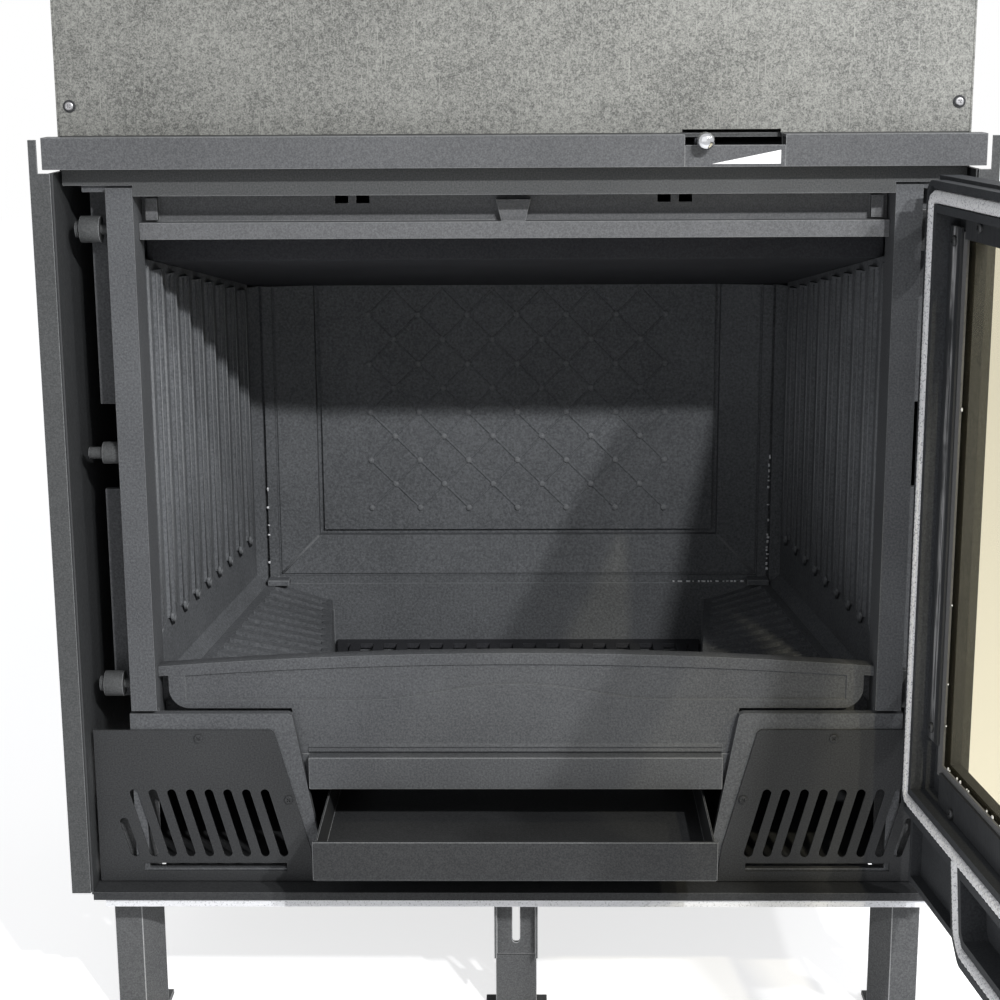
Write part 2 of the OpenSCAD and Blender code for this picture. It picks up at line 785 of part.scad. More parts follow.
module flue_collar() color(dark_iron) place() translate([0, flue_y, 0]) difference() {
    union() {
        translate([0, 0, shell_top + seat]) cylinder(d = flue_d + 50, h = 6, $fn = 96);
        translate([0, 0, shell_top + seat])
            cylinder(d = flue_d + 2 * flue_wall, h = casing_h + flue_stub - shell_top - seat, $fn = 96);
    }
    translate([0, 0, shell_top - past])
        cylinder(d = flue_d, h = casing_h + flue_stub - shell_top + 3, $fn = 96);
}

// Sheet casing
module casing_side() {
    hood_y = hood_setback + casing_t + seat;
    upright_casing();
    block([casing_x - 16, casing_x - casing_t], [hood_y, hood_y + casing_t], [lintel_top + 4, casing_h - 4]);
}

module upright_casing() {
    across([casing_x - casing_t, casing_x - 0.1]) polygon([
        [flange_t + 0.5, 0], [flange_t + 0.5, lintel_low - 2.5], [hood_setback, lintel_low - 2.5],
        [hood_setback, casing_h], [casing_depth - casing_t, casing_h], [casing_depth - casing_t, 0]
    ]);
}

module casing_right() color(zinc) place() difference() {
    casing_side();
    hood_screw_holes();
}
module casing_left() color(zinc) place() difference() {
    on_left() casing_side();
    hood_screw_holes();
}

module hood_screw_holes() {
    both() rod_y(hood_screws[0], hood_screws[1], [hood_setback - 2, hood_setback + 6], 4 + 2 * run);
}

module casing_back() color(zinc) place()
    block([-casing_x, casing_x], [casing_back_y, casing_depth], [0, casing_h]);

module hood_front() color(zinc) place() difference() {
    block([-casing_x + casing_t + 0.2, casing_x - casing_t - 0.2], [hood_setback, hood_setback + casing_t],
          [lintel_top + 0.1, casing_h]);
    block([slot_left, slot_left + slot_len], [hood_setback - past, hood_setback + casing_t + past],
          [lintel_top, lintel_top + 2.5]);
    hood_screw_holes();
}

module hood_top() color(zinc) place() difference() {
    block([-casing_x, casing_x], [hood_setback, casing_depth], [casing_h + 0.1, casing_h + casing_t]);
    translate([0, flue_y, casing_h - past])
        cylinder(d = flue_d + 2 * flue_wall + 2 * seat, h = 5, $fn = 96);
    both() translate([spigot_x, flue_y, casing_h - past]) cylinder(d = spigot_d, h = 5, $fn = 72);
}

module air_spigot(side) {
    translate([side * spigot_x, flue_y, casing_h + casing_t + 0.1]) difference() {
        union() {
            cylinder(d = spigot_d + 24, h = casing_t, $fn = 72);
            cylinder(d = spigot_d + 2 * casing_t, h = 50, $fn = 72);
        }
        translate([0, 0, -past]) cylinder(d = spigot_d, h = 60, $fn = 72);
    }
}
module air_spigot_left() color(zinc) place() air_spigot(-1);
module air_spigot_right() color(zinc) place() air_spigot(1);

// Legs: folded strips with a foot pad
leg_in = 287;
leg_mid = 302;
leg_out = 324;
leg_y = wing_y + cast_t + seat;
leg_top = 112;
module leg_front() {
    fold = leg_y + 20;
    translate([0, 0, -leg_h]) linear_extrude(leg_h + leg_top) polygon([
        [leg_out, leg_y], [leg_mid, leg_y], [leg_in, fold - 3], [leg_in + 3, fold],
        [leg_mid + 1.5, leg_y + leg_t], [leg_out, leg_y + leg_t]
    ]);
    block([leg_in, leg_out], [leg_y, leg_y + 40], [-leg_h, -leg_h + 4]);
}
module leg_front_right() color(iron) place() leg_front();
module leg_front_left() color(iron) place() on_left() leg_front();

middle_low = -64;
module leg_middle() color(iron) place() {
    difference() {
        block([-middle_w / 2, middle_w / 2], [leg_y, leg_y + leg_t], [middle_low, sill_top - 4]);
        upright([leg_y - past, leg_y + leg_t + past]) stroke([0, middle_low + 13], [0, 10], 6);
    }
    both() block([middle_w / 2 - 2, middle_w / 2], [leg_y - 9, leg_y + 1], [middle_low, -past]);
}

// Foot strip welded behind the middle leg, on its pad
module foot_middle() color(dark_iron) place() {
    y0 = leg_y + leg_t + 0.1;
    block([-middle_w / 2 + 1, middle_w / 2 - 1], [y0, y0 + leg_t], [-leg_h, middle_low + 9]);
    block([-25, 25], [foot_y - 18, foot_y + 18], [-leg_h, -leg_h + 4]);
}

module leg_rear() {
    y0 = casing_depth - 70;
    translate([0, 0, -leg_h]) linear_extrude(leg_h - seat) polygon([
        [leg_out, y0], [leg_in, y0], [leg_in, y0 + leg_t], [leg_out - leg_t, y0 + leg_t],
        [leg_out - leg_t, y0 + 45], [leg_out, y0 + 45]
    ]);
    block([leg_in, leg_out], [y0, y0 + 45], [-leg_h, -leg_h + 4]);
    difference() {
        block([leg_in, leg_out], [y0, y0 + 45], [-leg_t - seat, -seat]);
        translate([leg_mid, y0 + 24, -10]) cylinder(d = 8 + 2 * run, h = 20);
    }
}
module leg_rear_right() color(iron) place() leg_rear();
module leg_rear_left() color(iron) place() on_left() leg_rear();

// Bolts through the rear legs
module leg_bolts() color(steel) place() both() translate([leg_mid, casing_depth - 46, -leg_t - seat]) {
    translate([0, 0, -5]) cylinder(d = 14, h = 4.9, $fn = 6);
    cylinder(d = 8, h = leg_t + seat - 0.1);
}

// Hinges: brackets on the cast front, pins, and the door's own knuckles between them
hinge_levels = [roller_low - 8, roller_high - 4];
knuckle_h = 18;
bracket_t = 6;
module hinge_bracket(z) {
    difference() {
        union() {
            for (leaf = [-1, 1]) translate([0, 0, z + leaf * (knuckle_h / 2 + seat + bracket_t / 2)])
                hinge_leaf();
            block([post_out + 0.3, fin_out], [fin_y - 8, fin_y - 0.3],
                  [z - knuckle_h / 2 - bracket_t - seat, z + knuckle_h / 2 + bracket_t + seat]);
        }
        translate([hinge_x, -hinge_proud, z - 40]) cylinder(d = hinge_pin_d + 2 * run, h = 80);
    }
}

module hinge_leaf() {
    translate([0, 0, -bracket_t / 2]) {
        translate([hinge_x, -hinge_proud, 0]) cylinder(r = 8, h = bracket_t);
        block([hinge_x - 4, hinge_x + 3.6], [-hinge_proud, fin_y - 1], [0, bracket_t]);
    }
}
module hinge_brackets() color(iron) place() for (z = hinge_levels) hinge_bracket(z);

module hinge_pins() color(steel) place() for (z = hinge_levels)
    translate([hinge_x, -hinge_proud, z - knuckle_h / 2 - bracket_t - 3]) {
        cylinder(d = hinge_pin_d, h = knuckle_h + 2 * bracket_t + 4);
        cylinder(d = hinge_pin_d + 4, h = 2.6);
    }

// Door casting, drawn shut: face with window, rope channels, skirt walls and knuckles
rope_points = [[0, rope_top], [rope_x, rope_top], [rope_x, rope_mid], [0, rope_mid]];
rope_branch = [
    [rope_mid_x, rope_mid], [rope_low_x, rope_low + 10], [rope_low_x - 10, rope_low], [0, rope_low]
];
module rope_path(grow) {
    both() for (line = [rope_points, rope_branch]) for (i = [0 : len(line) - 2])
        stroke(line[i], line[i + 1], grow);
}

module door_outline(inset) {
    translate([-door_half + inset, door_low + inset])
        square([2 * (door_half - inset), door_top - door_low - 2 * inset]);
}

module door_frame() color(iron) place() hung() difference() {
    union() {
        upright([door_front, door_back]) door_outline(0);
        upright([door_back - 0.5, skirt_y]) difference() {
            door_outline(0);
            door_outline(5);
        }
        upright([door_back - 0.5, door_tip]) intersection() {
            door_outline(0);
            rope_path(rope_d + 12);
        }
        knuckles();
        upright([door_back - 0.5, clamp_y - seat]) both() for (spot = clamp_spots)
            translate(spot) circle(d = 9);
        guide_studs();
    }
    upright([rope_y - rope_d / 2 - 0.2, seat_y + past]) {
        rope_path(rope_d + 0.6);
        both() for (corner = [rope_points[1], rope_points[2]]) translate(corner) circle(d = rope_d * 1.45);
    }
    upright([door_front - past, door_back + past]) window_outline(0);
    rod_y(handle_x, handle_z, [door_front - past, door_tip + past], 12 + 2 * run);
    for (z = hinge_levels) translate([hinge_x, -hinge_proud, z - 20])
        cylinder(d = hinge_pin_d + 2 * run, h = 40);
    clamp_holes();
}

module knuckles() {
    for (z = hinge_levels) translate([0, 0, z - knuckle_h / 2]) {
        translate([hinge_x, -hinge_proud, 0]) cylinder(r = 7, h = knuckle_h);
        block([door_half - 4, hinge_x], [-hinge_proud - 3.5, -hinge_proud + 6], [0, knuckle_h]);
    }
}

module window_outline(grow) {
    translate([-glass_half - grow, glass_low - grow])
        square([2 * (glass_half + grow), glass_top - glass_low + 2 * grow]);
}

// Rope seal in its channel, standing past the walls
module rope_run(a, b, reach = 0) {
    angle = atan2(b[0] - a[0], b[1] - a[1]);
    translate([a[0], rope_y, a[1]]) rotate([0, angle, 0]) translate([0, 0, -reach])
        cylinder(d = rope_d, h = norm(b - a) + 2 * reach);
}

module door_rope() color("#d9d8d2") place() hung() {
    rope_run([-rope_x, rope_top], [rope_x, rope_top], rope_d / 2);
    rope_run([-rope_x, rope_mid], [rope_x, rope_mid], rope_d / 2);
    both() rope_run([rope_x, rope_mid], [rope_x, rope_top]);
    both() rope_run([rope_low_x, rope_low + 10], [rope_mid_x, rope_mid]);
    both() rope_run([rope_low_x - 10, rope_low], [rope_low_x, rope_low + 10], 1);
    rope_run([-rope_low_x + 10, rope_low], [rope_low_x - 10, rope_low]);
}

module glass_outline(inset) {
    translate([-glass_half - glass_lap + inset, glass_low - glass_lap + inset])
        square([2 * (glass_half + glass_lap - inset),
                glass_top + glass_lap_top - glass_low + glass_lap - 2 * inset]);
}

module door_glass() color("#c8bb9a") place() hung()
    upright([glass_y, glass_back]) glass_outline(0);

module glass_seal() color("#d9d8d2") place() hung()
    upright([glass_back + 0.1, glass_back + 1.6]) difference() {
        glass_outline(1);
        window_outline(1);
    }

glass_lap_top = 5;
clamp_t = 2;
clamp_y = glass_back + 1.8;
clamp_side_x = glass_half + glass_lap + 8;
clamp_side = [[clamp_side_x, glass_low + 22], [clamp_side_x, glass_top - 3]];
clamp_across = [[glass_half - 30, glass_low - 26], [glass_half - 30, glass_top + 10.5]];
clamp_spots = concat(clamp_side, clamp_across);

// Clamp strips over the glass's edges: two upright and two across
module glass_clamps() color(dark_iron) place() hung() difference() {
    upright([clamp_y, clamp_y + clamp_t]) {
        both() translate([glass_half + 8.5, glass_low + 12])
            square([23.5, glass_top - glass_low - 5]);
        translate([-glass_half, glass_low - 30]) square([2 * glass_half, 24]);
        translate([-glass_half, glass_top]) square([2 * glass_half, 15]);
    }
    clamp_holes();
}

module clamp_holes() {
    both() for (spot = clamp_spots)
        rod_y(spot[0], spot[1], [door_back + 1, clamp_y + 4], 4 + 2 * run);
}

module clamp_screws() color(steel) place() hung() both()
    for (spot = clamp_spots) {
        rod_y(spot[0], spot[1], [clamp_y + clamp_t + 0.1, clamp_y + clamp_t + 2.6], 8);
        rod_y(spot[0], spot[1], [door_back + 1.5, clamp_y + clamp_t + 1], 4);
    }

// Headed studs on the door's edge that carry the latch bar
stud_d = 6;
stud_levels = [roller_low + 60, roller_high - 60];
stud_y = door_front + 10;
module guide_studs() {
    for (z = stud_levels) {
        rod_x(stud_y, z, [bar_x - bar_w - seat - 1.5, -door_half + 1], stud_d);
        rod_x(stud_y, z, [bar_x - bar_w - seat - 1.5, bar_x - bar_w - seat], 10);
    }
}

// Latch bar beside the door's free edge, with a hook over each roller
module latch_bar() color(steel) place() hung() difference() {
    hook_low = roller_d / 2 + 1.5;
    hook_h = 8;
    union() {
        block([bar_x - bar_w, bar_x], [stud_y - 6, stud_y + 6],
              [roller_low + hook_low, roller_high + hook_low + 2 * hook_h]);
        for (z = [roller_low, roller_high]) across([bar_x - bar_w, bar_x]) polygon([
            [stud_y - 6, z + hook_low + hook_h], [stud_y - 6, z + hook_low + 2 * hook_h],
            [hook_reach + hook_t, z + hook_low + 2 * hook_h], [hook_reach + hook_t, z + hook_low],
            [hook_reach, z + hook_low], [hook_reach, z + hook_low + hook_h]
        ]);
    }
    for (z = stud_levels) across([bar_x - bar_w - past, bar_x + past])
        stroke([stud_y, z], [stud_y, z + latch_travel], stud_d + 2 * run);
}

// Handle: spindle through the door's frame and a bar grip on its face
module handle_spindle() color(steel) place() hung() {
    rod_y(handle_x, handle_z, [door_front - 26, clamp_y - 0.5], 12);
}

module door_handle() color("#55504a") place() hung() difference() {
    union() {
        rod_y(handle_x, handle_z, [door_front - 26, door_front - 0.6], 24);
        upright([door_front - 26, door_front - 16]) stroke([handle_x, handle_z], [handle_x, handle_z - 70], 14);
        translate([handle_x, door_front - 21, handle_z - 140]) cylinder(d = 22, h = 80);
        translate([handle_x, door_front - 21, handle_z - 140]) sphere(d = 22);
    }
    rod_y(handle_x, handle_z, [door_front - 27, door_front + 1], 12 + 2 * run);
}

// Latch parts on the left post
module latch_pins() color(steel) place() {
    for (z = [roller_low, roller_high]) {
        rod_x(roller_y, z, [-roller_x - roller_w - 2, -post_out - 0.1], 8);
        rod_x(roller_y, z, [-roller_x - roller_w - 4, -roller_x - roller_w - 1.5], 12);
    }
    rod_x(roller_y, handle_z, [-post_out - 14, -post_out - 0.1], 17);
    rod_x(roller_y, handle_z, [-post_out - 25, -post_out - 13], 9);
}

module roller(z) {
    difference() {
        rod_x(roller_y, z, [-roller_x - roller_w, -roller_x + 2], roller_d);
        rod_x(roller_y, z, [-roller_x - roller_w - past, -roller_x + 3], 8 + 2 * run);
    }
}
module latch_roller_top() color(steel) place() roller(roller_high);
module latch_roller_bottom() color(steel) place() roller(roller_low);

// Air control: slide plate over the ports of the cast front, with a knob before the lintel
module air_slide() color(steel) place() {
    low = bar_top + seat;
    difference() {
        block([-170, 190], [bar_y + 4, frame_back - 2], [low, low + 3]);
        for (port = [-1, 0, 1])
            block([port * 120 - 45, port * 120 + 25], [bar_y + 12, frame_back - 10], [low - past, low + 4]);
    }
    block([knob_x - 5, knob_x + 5], [bar_y + 2, bar_y + 5.5], [low, rail_top - 3.4]);
    rod_y(knob_x, knob_z, [-6, bar_y + 3], stem_d);
}

module air_knob() color("#c9ccce") place() difference() {
    union() {
        rod_y(knob_x, knob_z, [-14, -3], knob_d);
        rod_y(knob_x, knob_z, [-3.1, -1], knob_d * 0.7);
    }
    rod_y(knob_x, knob_z, [-6.2, 0], stem_d + 2 * run);
}

// Ash drawer, drawn where it stands pulled out
module slid() {
    translate([0, -drawer_out, 0]) children();
}

module ash_pan() color(dark_iron) place() slid() {
    inner = drawer_half - 2;
    difference() {
        block([-inner, inner], [pan_y, pan_y + drawer_depth], [drawer_low, drawer_low + drawer_h]);
        block([-inner + drawer_t, inner - drawer_t], [pan_y + drawer_t, pan_y + drawer_depth - drawer_t],
              [drawer_low + drawer_t, drawer_low + drawer_h + past]);
    }
}

module ash_pan_front() color(iron) place() slid()
    block([-drawer_half, drawer_half], [seat_y + 0.4, pan_y - 0.1], [drawer_low, drawer_low + drawer_h + 0.5]);

front_frame();
header_rail();
lintel();
flange_left();
flange_right();
base_tray();
base_seal();
vent_plate_left();
vent_plate_right();
panel_screws();
ash_ledge();
pan_runners();
log_retainer();
side_plate_left();
side_plate_right();
back_plate();
hearth_base();
side_grate_left();
side_grate_right();
centre_grate();
grate_clips();
air_deflector();
smoke_baffle();
firebox_body();
firebox_roof();
flue_collar();
casing_left();
casing_right();
casing_back();
hood_front();
hood_top();
air_spigot_left();
air_spigot_right();
leg_front_left();
leg_front_right();
leg_middle();
foot_middle();
leg_rear_left();
leg_rear_right();
leg_bolts();
hinge_brackets();
hinge_pins();
latch_pins();
latch_roller_top();
latch_roller_bottom();
air_slide();
air_knob();
door_frame();
door_rope();
door_glass();
glass_seal();
glass_clamps();
clamp_screws();
latch_bar();
handle_spindle();
door_handle();
ash_pan();
ash_pan_front();
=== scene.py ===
"""Looks of a cast iron fireplace insert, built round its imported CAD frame."""

from __future__ import annotations

import logging
import math
import random
from dataclasses import dataclass, field
from enum import Enum
from typing import Iterable, Sequence

import bmesh
import bpy
from mathutils import Matrix, Vector


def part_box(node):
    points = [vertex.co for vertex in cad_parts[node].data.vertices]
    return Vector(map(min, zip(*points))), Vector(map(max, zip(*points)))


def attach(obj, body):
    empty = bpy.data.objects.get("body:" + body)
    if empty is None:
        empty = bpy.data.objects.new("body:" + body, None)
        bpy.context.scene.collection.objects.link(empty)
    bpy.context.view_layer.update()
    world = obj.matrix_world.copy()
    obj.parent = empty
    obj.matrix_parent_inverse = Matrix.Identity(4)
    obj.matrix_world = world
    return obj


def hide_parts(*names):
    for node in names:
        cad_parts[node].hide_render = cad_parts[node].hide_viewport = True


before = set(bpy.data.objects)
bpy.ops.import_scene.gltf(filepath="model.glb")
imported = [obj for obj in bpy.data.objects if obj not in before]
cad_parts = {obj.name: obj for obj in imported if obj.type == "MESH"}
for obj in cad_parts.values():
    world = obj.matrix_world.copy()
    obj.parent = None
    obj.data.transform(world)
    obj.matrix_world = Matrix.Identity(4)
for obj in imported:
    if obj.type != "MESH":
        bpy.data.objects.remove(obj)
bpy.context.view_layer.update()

log = logging.getLogger("insert")

MM = 0.001
# The row frame's origin, the floor and the hinge's pin, from the casing's own origin in mm
FOOT_Y = 44.0
LEG_H = 120.0
HINGE_X = 314.4
HINGE_Y = -5.0
DOOR_OPEN = math.radians(96.75)
TO_FRONT = Vector((0.0, -1.0, 0.0))
TO_REAR = Vector((0.0, 1.0, 0.0))
SIDES = (-1.0, 1.0)
FLAT_WITHIN = math.radians(0.5)
SHARP_OVER = math.radians(40)

Point = Sequence[float]
Pair = tuple[float, float]
Colour = tuple[float, float, float]
Mesh = bmesh.types.BMesh
Corner = bmesh.types.BMVert
Socket = bpy.types.NodeSocket
Material = bpy.types.Material


class Body(Enum):
    """CAD bodies that the pieces ride on."""

    BODY = "body"
    DOOR = "door"
    AIR = "air_control"

    def matrix(self) -> Matrix:
        """Finds where a body's pieces go, which are drawn in the casing's frame with the door shut.

        Returns:
            The matrix from that drawing, in mm, to the row frame with the door open, in metres.
        """
        casing = Matrix.Translation(row(0, 0, 0)) @ Matrix.Scale(MM, 4)
        pin = Matrix.Translation((HINGE_X, HINGE_Y, 0))
        hung = casing @ pin @ Matrix.Rotation(DOOR_OPEN, 4, "Z") @ pin.inverted()
        return hung if self is Body.DOOR else casing


def row(x: float, y: float, z: float) -> Vector:
    """Point in the row frame, in metres, of a point drawn in the casing's frame, in mm."""
    return Vector((x * MM, (y - FOOT_Y) * MM, (z + LEG_H) * MM))


def add_object(name: str, data: bpy.types.ID) -> bpy.types.Object:
    """Adds an object to the scene.

    Args:
        name: The object's name.
        data: Its mesh, lamp or camera.

    Returns:
        The object.
    """
    obj = bpy.data.objects.new(name, data)
    bpy.context.scene.collection.objects.link(obj)
    return obj


def add_mesh(name: str, mesh: Mesh) -> bpy.types.Object:
    """Adds an object to the scene that takes over a mesh under construction.

    Args:
        name: The object's name.
        mesh: The mesh, which is freed.

    Returns:
        The object.
    """
    data = bpy.data.meshes.new(name)
    mesh.to_mesh(data)
    mesh.free()
    return add_object(name, data)


# Shader graphs


@dataclass(frozen=True)
class Value:
    """A number in a shader: sums written on it add Math nodes."""

    graph: Graph
    link: Socket

    def _math(self, operation: str, *terms: Value | float) -> Value:
        """Adds a Math node.

        Args:
            operation: The node's operation.
            terms: Its inputs, in order.

        Returns:
            The node's value.
        """
        sockets = dict(enumerate(terms))
        return self.graph.node("ShaderNodeMath", {"operation": operation}, sockets).value()

    def __add__(self, other: Value | float) -> Value:
        """Sum."""
        return self._math("ADD", self, other)

    __radd__ = __add__

    def __sub__(self, other: Value | float) -> Value:
        """Difference."""
        return self._math("SUBTRACT", self, other)

    def __rsub__(self, other: Value | float) -> Value:
        """Difference with the number first."""
        return self._math("SUBTRACT", other, self)

    def __mul__(self, other: Value | float) -> Value:
        """Product."""
        return self._math("MULTIPLY", self, other)

    __rmul__ = __mul__

    def swing(self, amount: float) -> Value:
        """How far this value is from one half, times an amount."""
        return (self - 0.5) * amount

    def above(self, edge: float) -> Value:
        """1 where this value is over the edge, else 0."""
        return self._math("GREATER_THAN", self, edge)

    def size(self) -> Value:
        """This value without its sign."""
        return self._math("ABSOLUTE", self)

    def most(self, other: Value) -> Value:
        """The larger of two values."""
        return self._math("MAXIMUM", self, other)

    def fade(self, low: float, high: float) -> Value:
        """Smooth step from 0 at low to 1 at high, which may be below low."""
        sockets = {"Value": self, "From Min": low, "From Max": high}
        return self.graph.node("ShaderNodeMapRange", {"interpolation_type": "SMOOTHSTEP"}, sockets).value()


@dataclass(frozen=True)
class Made:
    """A node that was added, with a short way to its outputs."""

    graph: Graph
    node: bpy.types.Node

    def value(self, name: str | int = 0) -> Value:
        """One of the node's outputs as a value."""
        return Value(self.graph, self.node.outputs[name])


Input = Value | Socket | float | Sequence[float]


class Graph:
    """The node tree of a material or of the surround, under construction."""

    def __init__(self, owner: Material | bpy.types.World) -> None:
        """Starts with an empty node tree.

        Args:
            owner: The material or surround that holds the tree.
        """
        owner.use_nodes = True
        self.owner = owner
        self.tree = owner.node_tree
        self.tree.nodes.clear()

    @classmethod
    def named(cls, name: str) -> Graph:
        """Starts a new material."""
        return cls(bpy.data.materials.new(name))

    def node(self, kind: str, settings: dict | None = None, sockets: dict | None = None) -> Made:
        """Adds a node.

        Args:
            kind: The node's type.
            settings: Its own properties.
            sockets: Values or links of its inputs, by name or number, with three numbers for a colour.

        Returns:
            The node.
        """
        node = self.tree.nodes.new(kind)
        for key, setting in (settings or {}).items():
            setattr(node, key, setting)
        for key, given in (sockets or {}).items():
            socket = node.inputs[key]
            source = given.link if isinstance(given, Value) else given
            if isinstance(source, Socket):
                self.tree.links.new(source, socket)
            else:
                socket.default_value = (*source, 1.0) if socket.type == "RGBA" else source
        return Made(self, node)

    def where(self, scale: Point = (1, 1, 1), turn: Point = (0, 0, 0)) -> Socket:
        """Object coordinates in metres, stretched and turned."""
        sockets = {"Vector": self.node("ShaderNodeTexCoord").node.outputs["Object"], "Scale": scale,
                   "Rotation": turn}
        return self.node("ShaderNodeMapping", None, sockets).node.outputs["Vector"]

    def place(self, axis: str) -> Value:
        """One of the object coordinates, in metres."""
        return self.node("ShaderNodeSeparateXYZ", None, {"Vector": self.where()}).value(axis)

    def noise(self, size: float, detail: float = 3.0, rough: float = 0.55,
              vector: Socket | None = None) -> Value:
        """Noise whose lumps measure about size metres."""
        sockets = {"Vector": vector or self.where(), "Scale": 1.0 / size, "Detail": detail,
                   "Roughness": rough}
        return self.node("ShaderNodeTexNoise", None, sockets).value("Fac")

    def mix(self, factor: Value | float, first: Input, second: Input) -> Socket:
        """Mixes two colours: the first where the factor is 0, the second where it is 1."""
        made = self.node("ShaderNodeMix", {"data_type": "RGBA"}, {0: factor, 6: first, 7: second})
        return made.node.outputs[2]

    def bump(self, height: Value, depth: float, strength: float) -> Socket:
        """Normal of a surface raised by height times depth in metres."""
        sockets = {"Height": height, "Distance": depth, "Strength": strength}
        return self.node("ShaderNodeBump", None, sockets).node.outputs["Normal"]

    def blend(self, factor: Value, first: Made, second: Made) -> Made:
        """Mixes two shaders: the first where the factor is 0, the second where it is 1."""
        sockets = {0: factor, 1: first.node.outputs[0], 2: second.node.outputs[0]}
        return self.node("ShaderNodeMixShader", None, sockets)

    def end(self, shader: Made, kind: str = "ShaderNodeOutputMaterial") -> None:
        """Ends the graph in a shader."""
        self.node(kind, None, {"Surface": shader.node.outputs[0]})

    def surface(self, **sockets: Input) -> Material:
        """Ends the graph in a Principled shader.

        Args:
            sockets: Its inputs, with _ for a space in each name.

        Returns:
            The material.
        """
        named = {key.replace("_", " "): given for key, given in sockets.items()}
        self.end(self.node("ShaderNodeBsdfPrincipled", None, named))
        return self.owner


# Finishes

PAINT_SHINE = 0.12
WHITE = (1.0, 1.0, 1.0)


@dataclass(frozen=True)
class CastPaint:
    """Matt stove paint on a sand-cast face, with the casting's grain under it."""

    name: str
    colour: Colour
    pale: Colour
    grain: float = 0.0016
    depth: float = 0.00035
    speck: float = 0.25
    roughness: float = 0.62
    drift: float = 0.6
    contrast: float = 1.9
    middle: float = 0.30

    def material(self) -> Material:
        """Builds the material.

        Returns:
            The material.
        """
        g = Graph.named(self.name)
        grain = g.noise(self.grain, 4.0, 0.65)
        cloud = g.noise(0.09, 3.0)
        specks = g.noise(self.grain * 0.45, 2.0, 0.7).fade(0.60, 0.72)
        tone = cloud.swing(self.drift) + grain.swing(self.contrast) + self.middle
        base = g.mix(tone + specks * self.speck, self.colour, self.pale)
        height = grain * 0.9 + g.noise(0.006, 3.0) * 0.5
        return g.surface(Base_Color=base, Roughness=self.roughness + grain.swing(0.25), Metallic=0.0,
                         Specular_IOR_Level=PAINT_SHINE, Normal=g.bump(height, self.depth, 0.9))


@dataclass(frozen=True)
class SheetPaint:
    """Matt paint on folded sheet metal."""

    name: str
    colour: Colour
    pale: Colour
    roughness: float = 0.48
    drift: float = 0.7
    contrast: float = 2.2
    middle: float = 0.35

    def material(self) -> Material:
        """Builds the material.

        Returns:
            The material.
        """
        g = Graph.named(self.name)
        fine = g.noise(0.0012, 3.0, 0.6)
        cloud = g.noise(0.12, 3.0)
        tone = cloud.swing(self.drift) + fine.swing(self.contrast) + self.middle
        base = g.mix(tone, self.colour, self.pale)
        return g.surface(Base_Color=base, Roughness=self.roughness + cloud.swing(0.15), Metallic=0.0,
                         Specular_IOR_Level=PAINT_SHINE, Normal=g.bump(fine, 0.00008, 0.5))


@dataclass(frozen=True)
class Galvanised:
    """Zinc-coated sheet with a fine spangle and a few hairline scratches, painted on its inner side.

    Its outer side is what lies farther from the middle than wall, or higher than hood, in metres.
    """

    name: str
    dark: Colour
    light: Colour
    inside: Colour
    wall: float = 0.3349
    hood: float = 0.69
    spangle: float = 0.0028

    def material(self) -> Material:
        """Builds the material.

        Returns:
            The material.
        """
        g = Graph.named(self.name)
        cells = g.node("ShaderNodeTexVoronoi", None, {"Vector": g.where(), "Scale": 1.0 / self.spangle})
        tint = g.node("ShaderNodeRGBToBW", None, {"Color": cells.node.outputs["Color"]}).value()
        fine = g.noise(0.0012, 3.0, 0.7)
        cloud = g.noise(0.08, 4.0)
        tone = tint.swing(0.5) + fine.swing(2.8) + cloud.swing(0.8) + 0.5
        zinc = g.mix(self.scratches(g) * 0.8 + tone, self.dark, self.light)
        outer = g.place("X").size().above(self.wall).most(g.place("Z").above(self.hood))
        base = g.mix(outer, self.inside, zinc)
        return g.surface(Base_Color=base, Roughness=0.5 + tint.swing(0.15), Metallic=outer * 0.35,
                         Normal=g.bump(fine, 0.00003, 0.4))

    @staticmethod
    def scratches(g: Graph) -> Value:
        """1 on thin lines where either of two stretched noises runs high, else 0."""
        steep = g.noise(0.02, 1.0, 0.4, g.where((26.0, 1.0, 0.8), (0.0, 0.85, 0.0))).fade(0.735, 0.75)
        return steep.most(
            g.noise(0.02, 1.0, 0.4, g.where((24.0, 1.0, 0.7), (0.0, 0.45, 0.0))).fade(0.745, 0.76))


@dataclass(frozen=True)
class BareMetal:
    """Plain steel or polished chrome."""

    name: str
    colour: Colour
    roughness: float
    metallic: float = 1.0

    def material(self) -> Material:
        """Builds the material.

        Returns:
            The material.
        """
        g = Graph.named(self.name)
        wear = g.noise(0.008, 3.0)
        base = g.mix(wear * 0.5, self.colour, tuple(0.7 * c for c in self.colour))
        return g.surface(Base_Color=base, Roughness=self.roughness + wear.swing(self.roughness) * 0.4,
                         Metallic=self.metallic)


@dataclass(frozen=True)
class WornStripWithPaintedSheen:
    """Blackened strip bared of its paint along a band of Y, from a height upward, in metres; the band's pale
    colour is partly bare metal and partly a painted highlight.
    """

    name: str
    dark: Colour
    bright: Colour
    band: Pair
    low: float
    soft: float = 0.0022

    def material(self) -> Material:
        """Builds the material.

        Returns:
            The material.
        """
        g = Graph.named(self.name)
        start, end = self.band
        across = g.place("Y")
        rise = across.fade(start - self.soft, start + self.soft)
        band = rise * across.fade(end + self.soft, end - self.soft)
        streaks = g.noise(0.0022, 4.0, 0.7, g.where((1.0, 1.0, 0.03))).fade(0.40, 0.62)
        patches = g.noise(0.05, 3.0, 0.6).fade(0.30, 0.55)
        above = g.place("Z").fade(self.low, self.low + 0.03)
        # The pale band is partly bare metal and partly a painted highlight standing in for a streak of
        # reflected light.
        rubbed_and_sheen = band * streaks * patches * above
        base = g.mix(rubbed_and_sheen, self.dark, self.bright)
        return g.surface(Base_Color=base, Roughness=0.45 + streaks.swing(0.1), Metallic=rubbed_and_sheen * 0.6,
                         Normal=g.bump(streaks, 0.00005, 0.5))


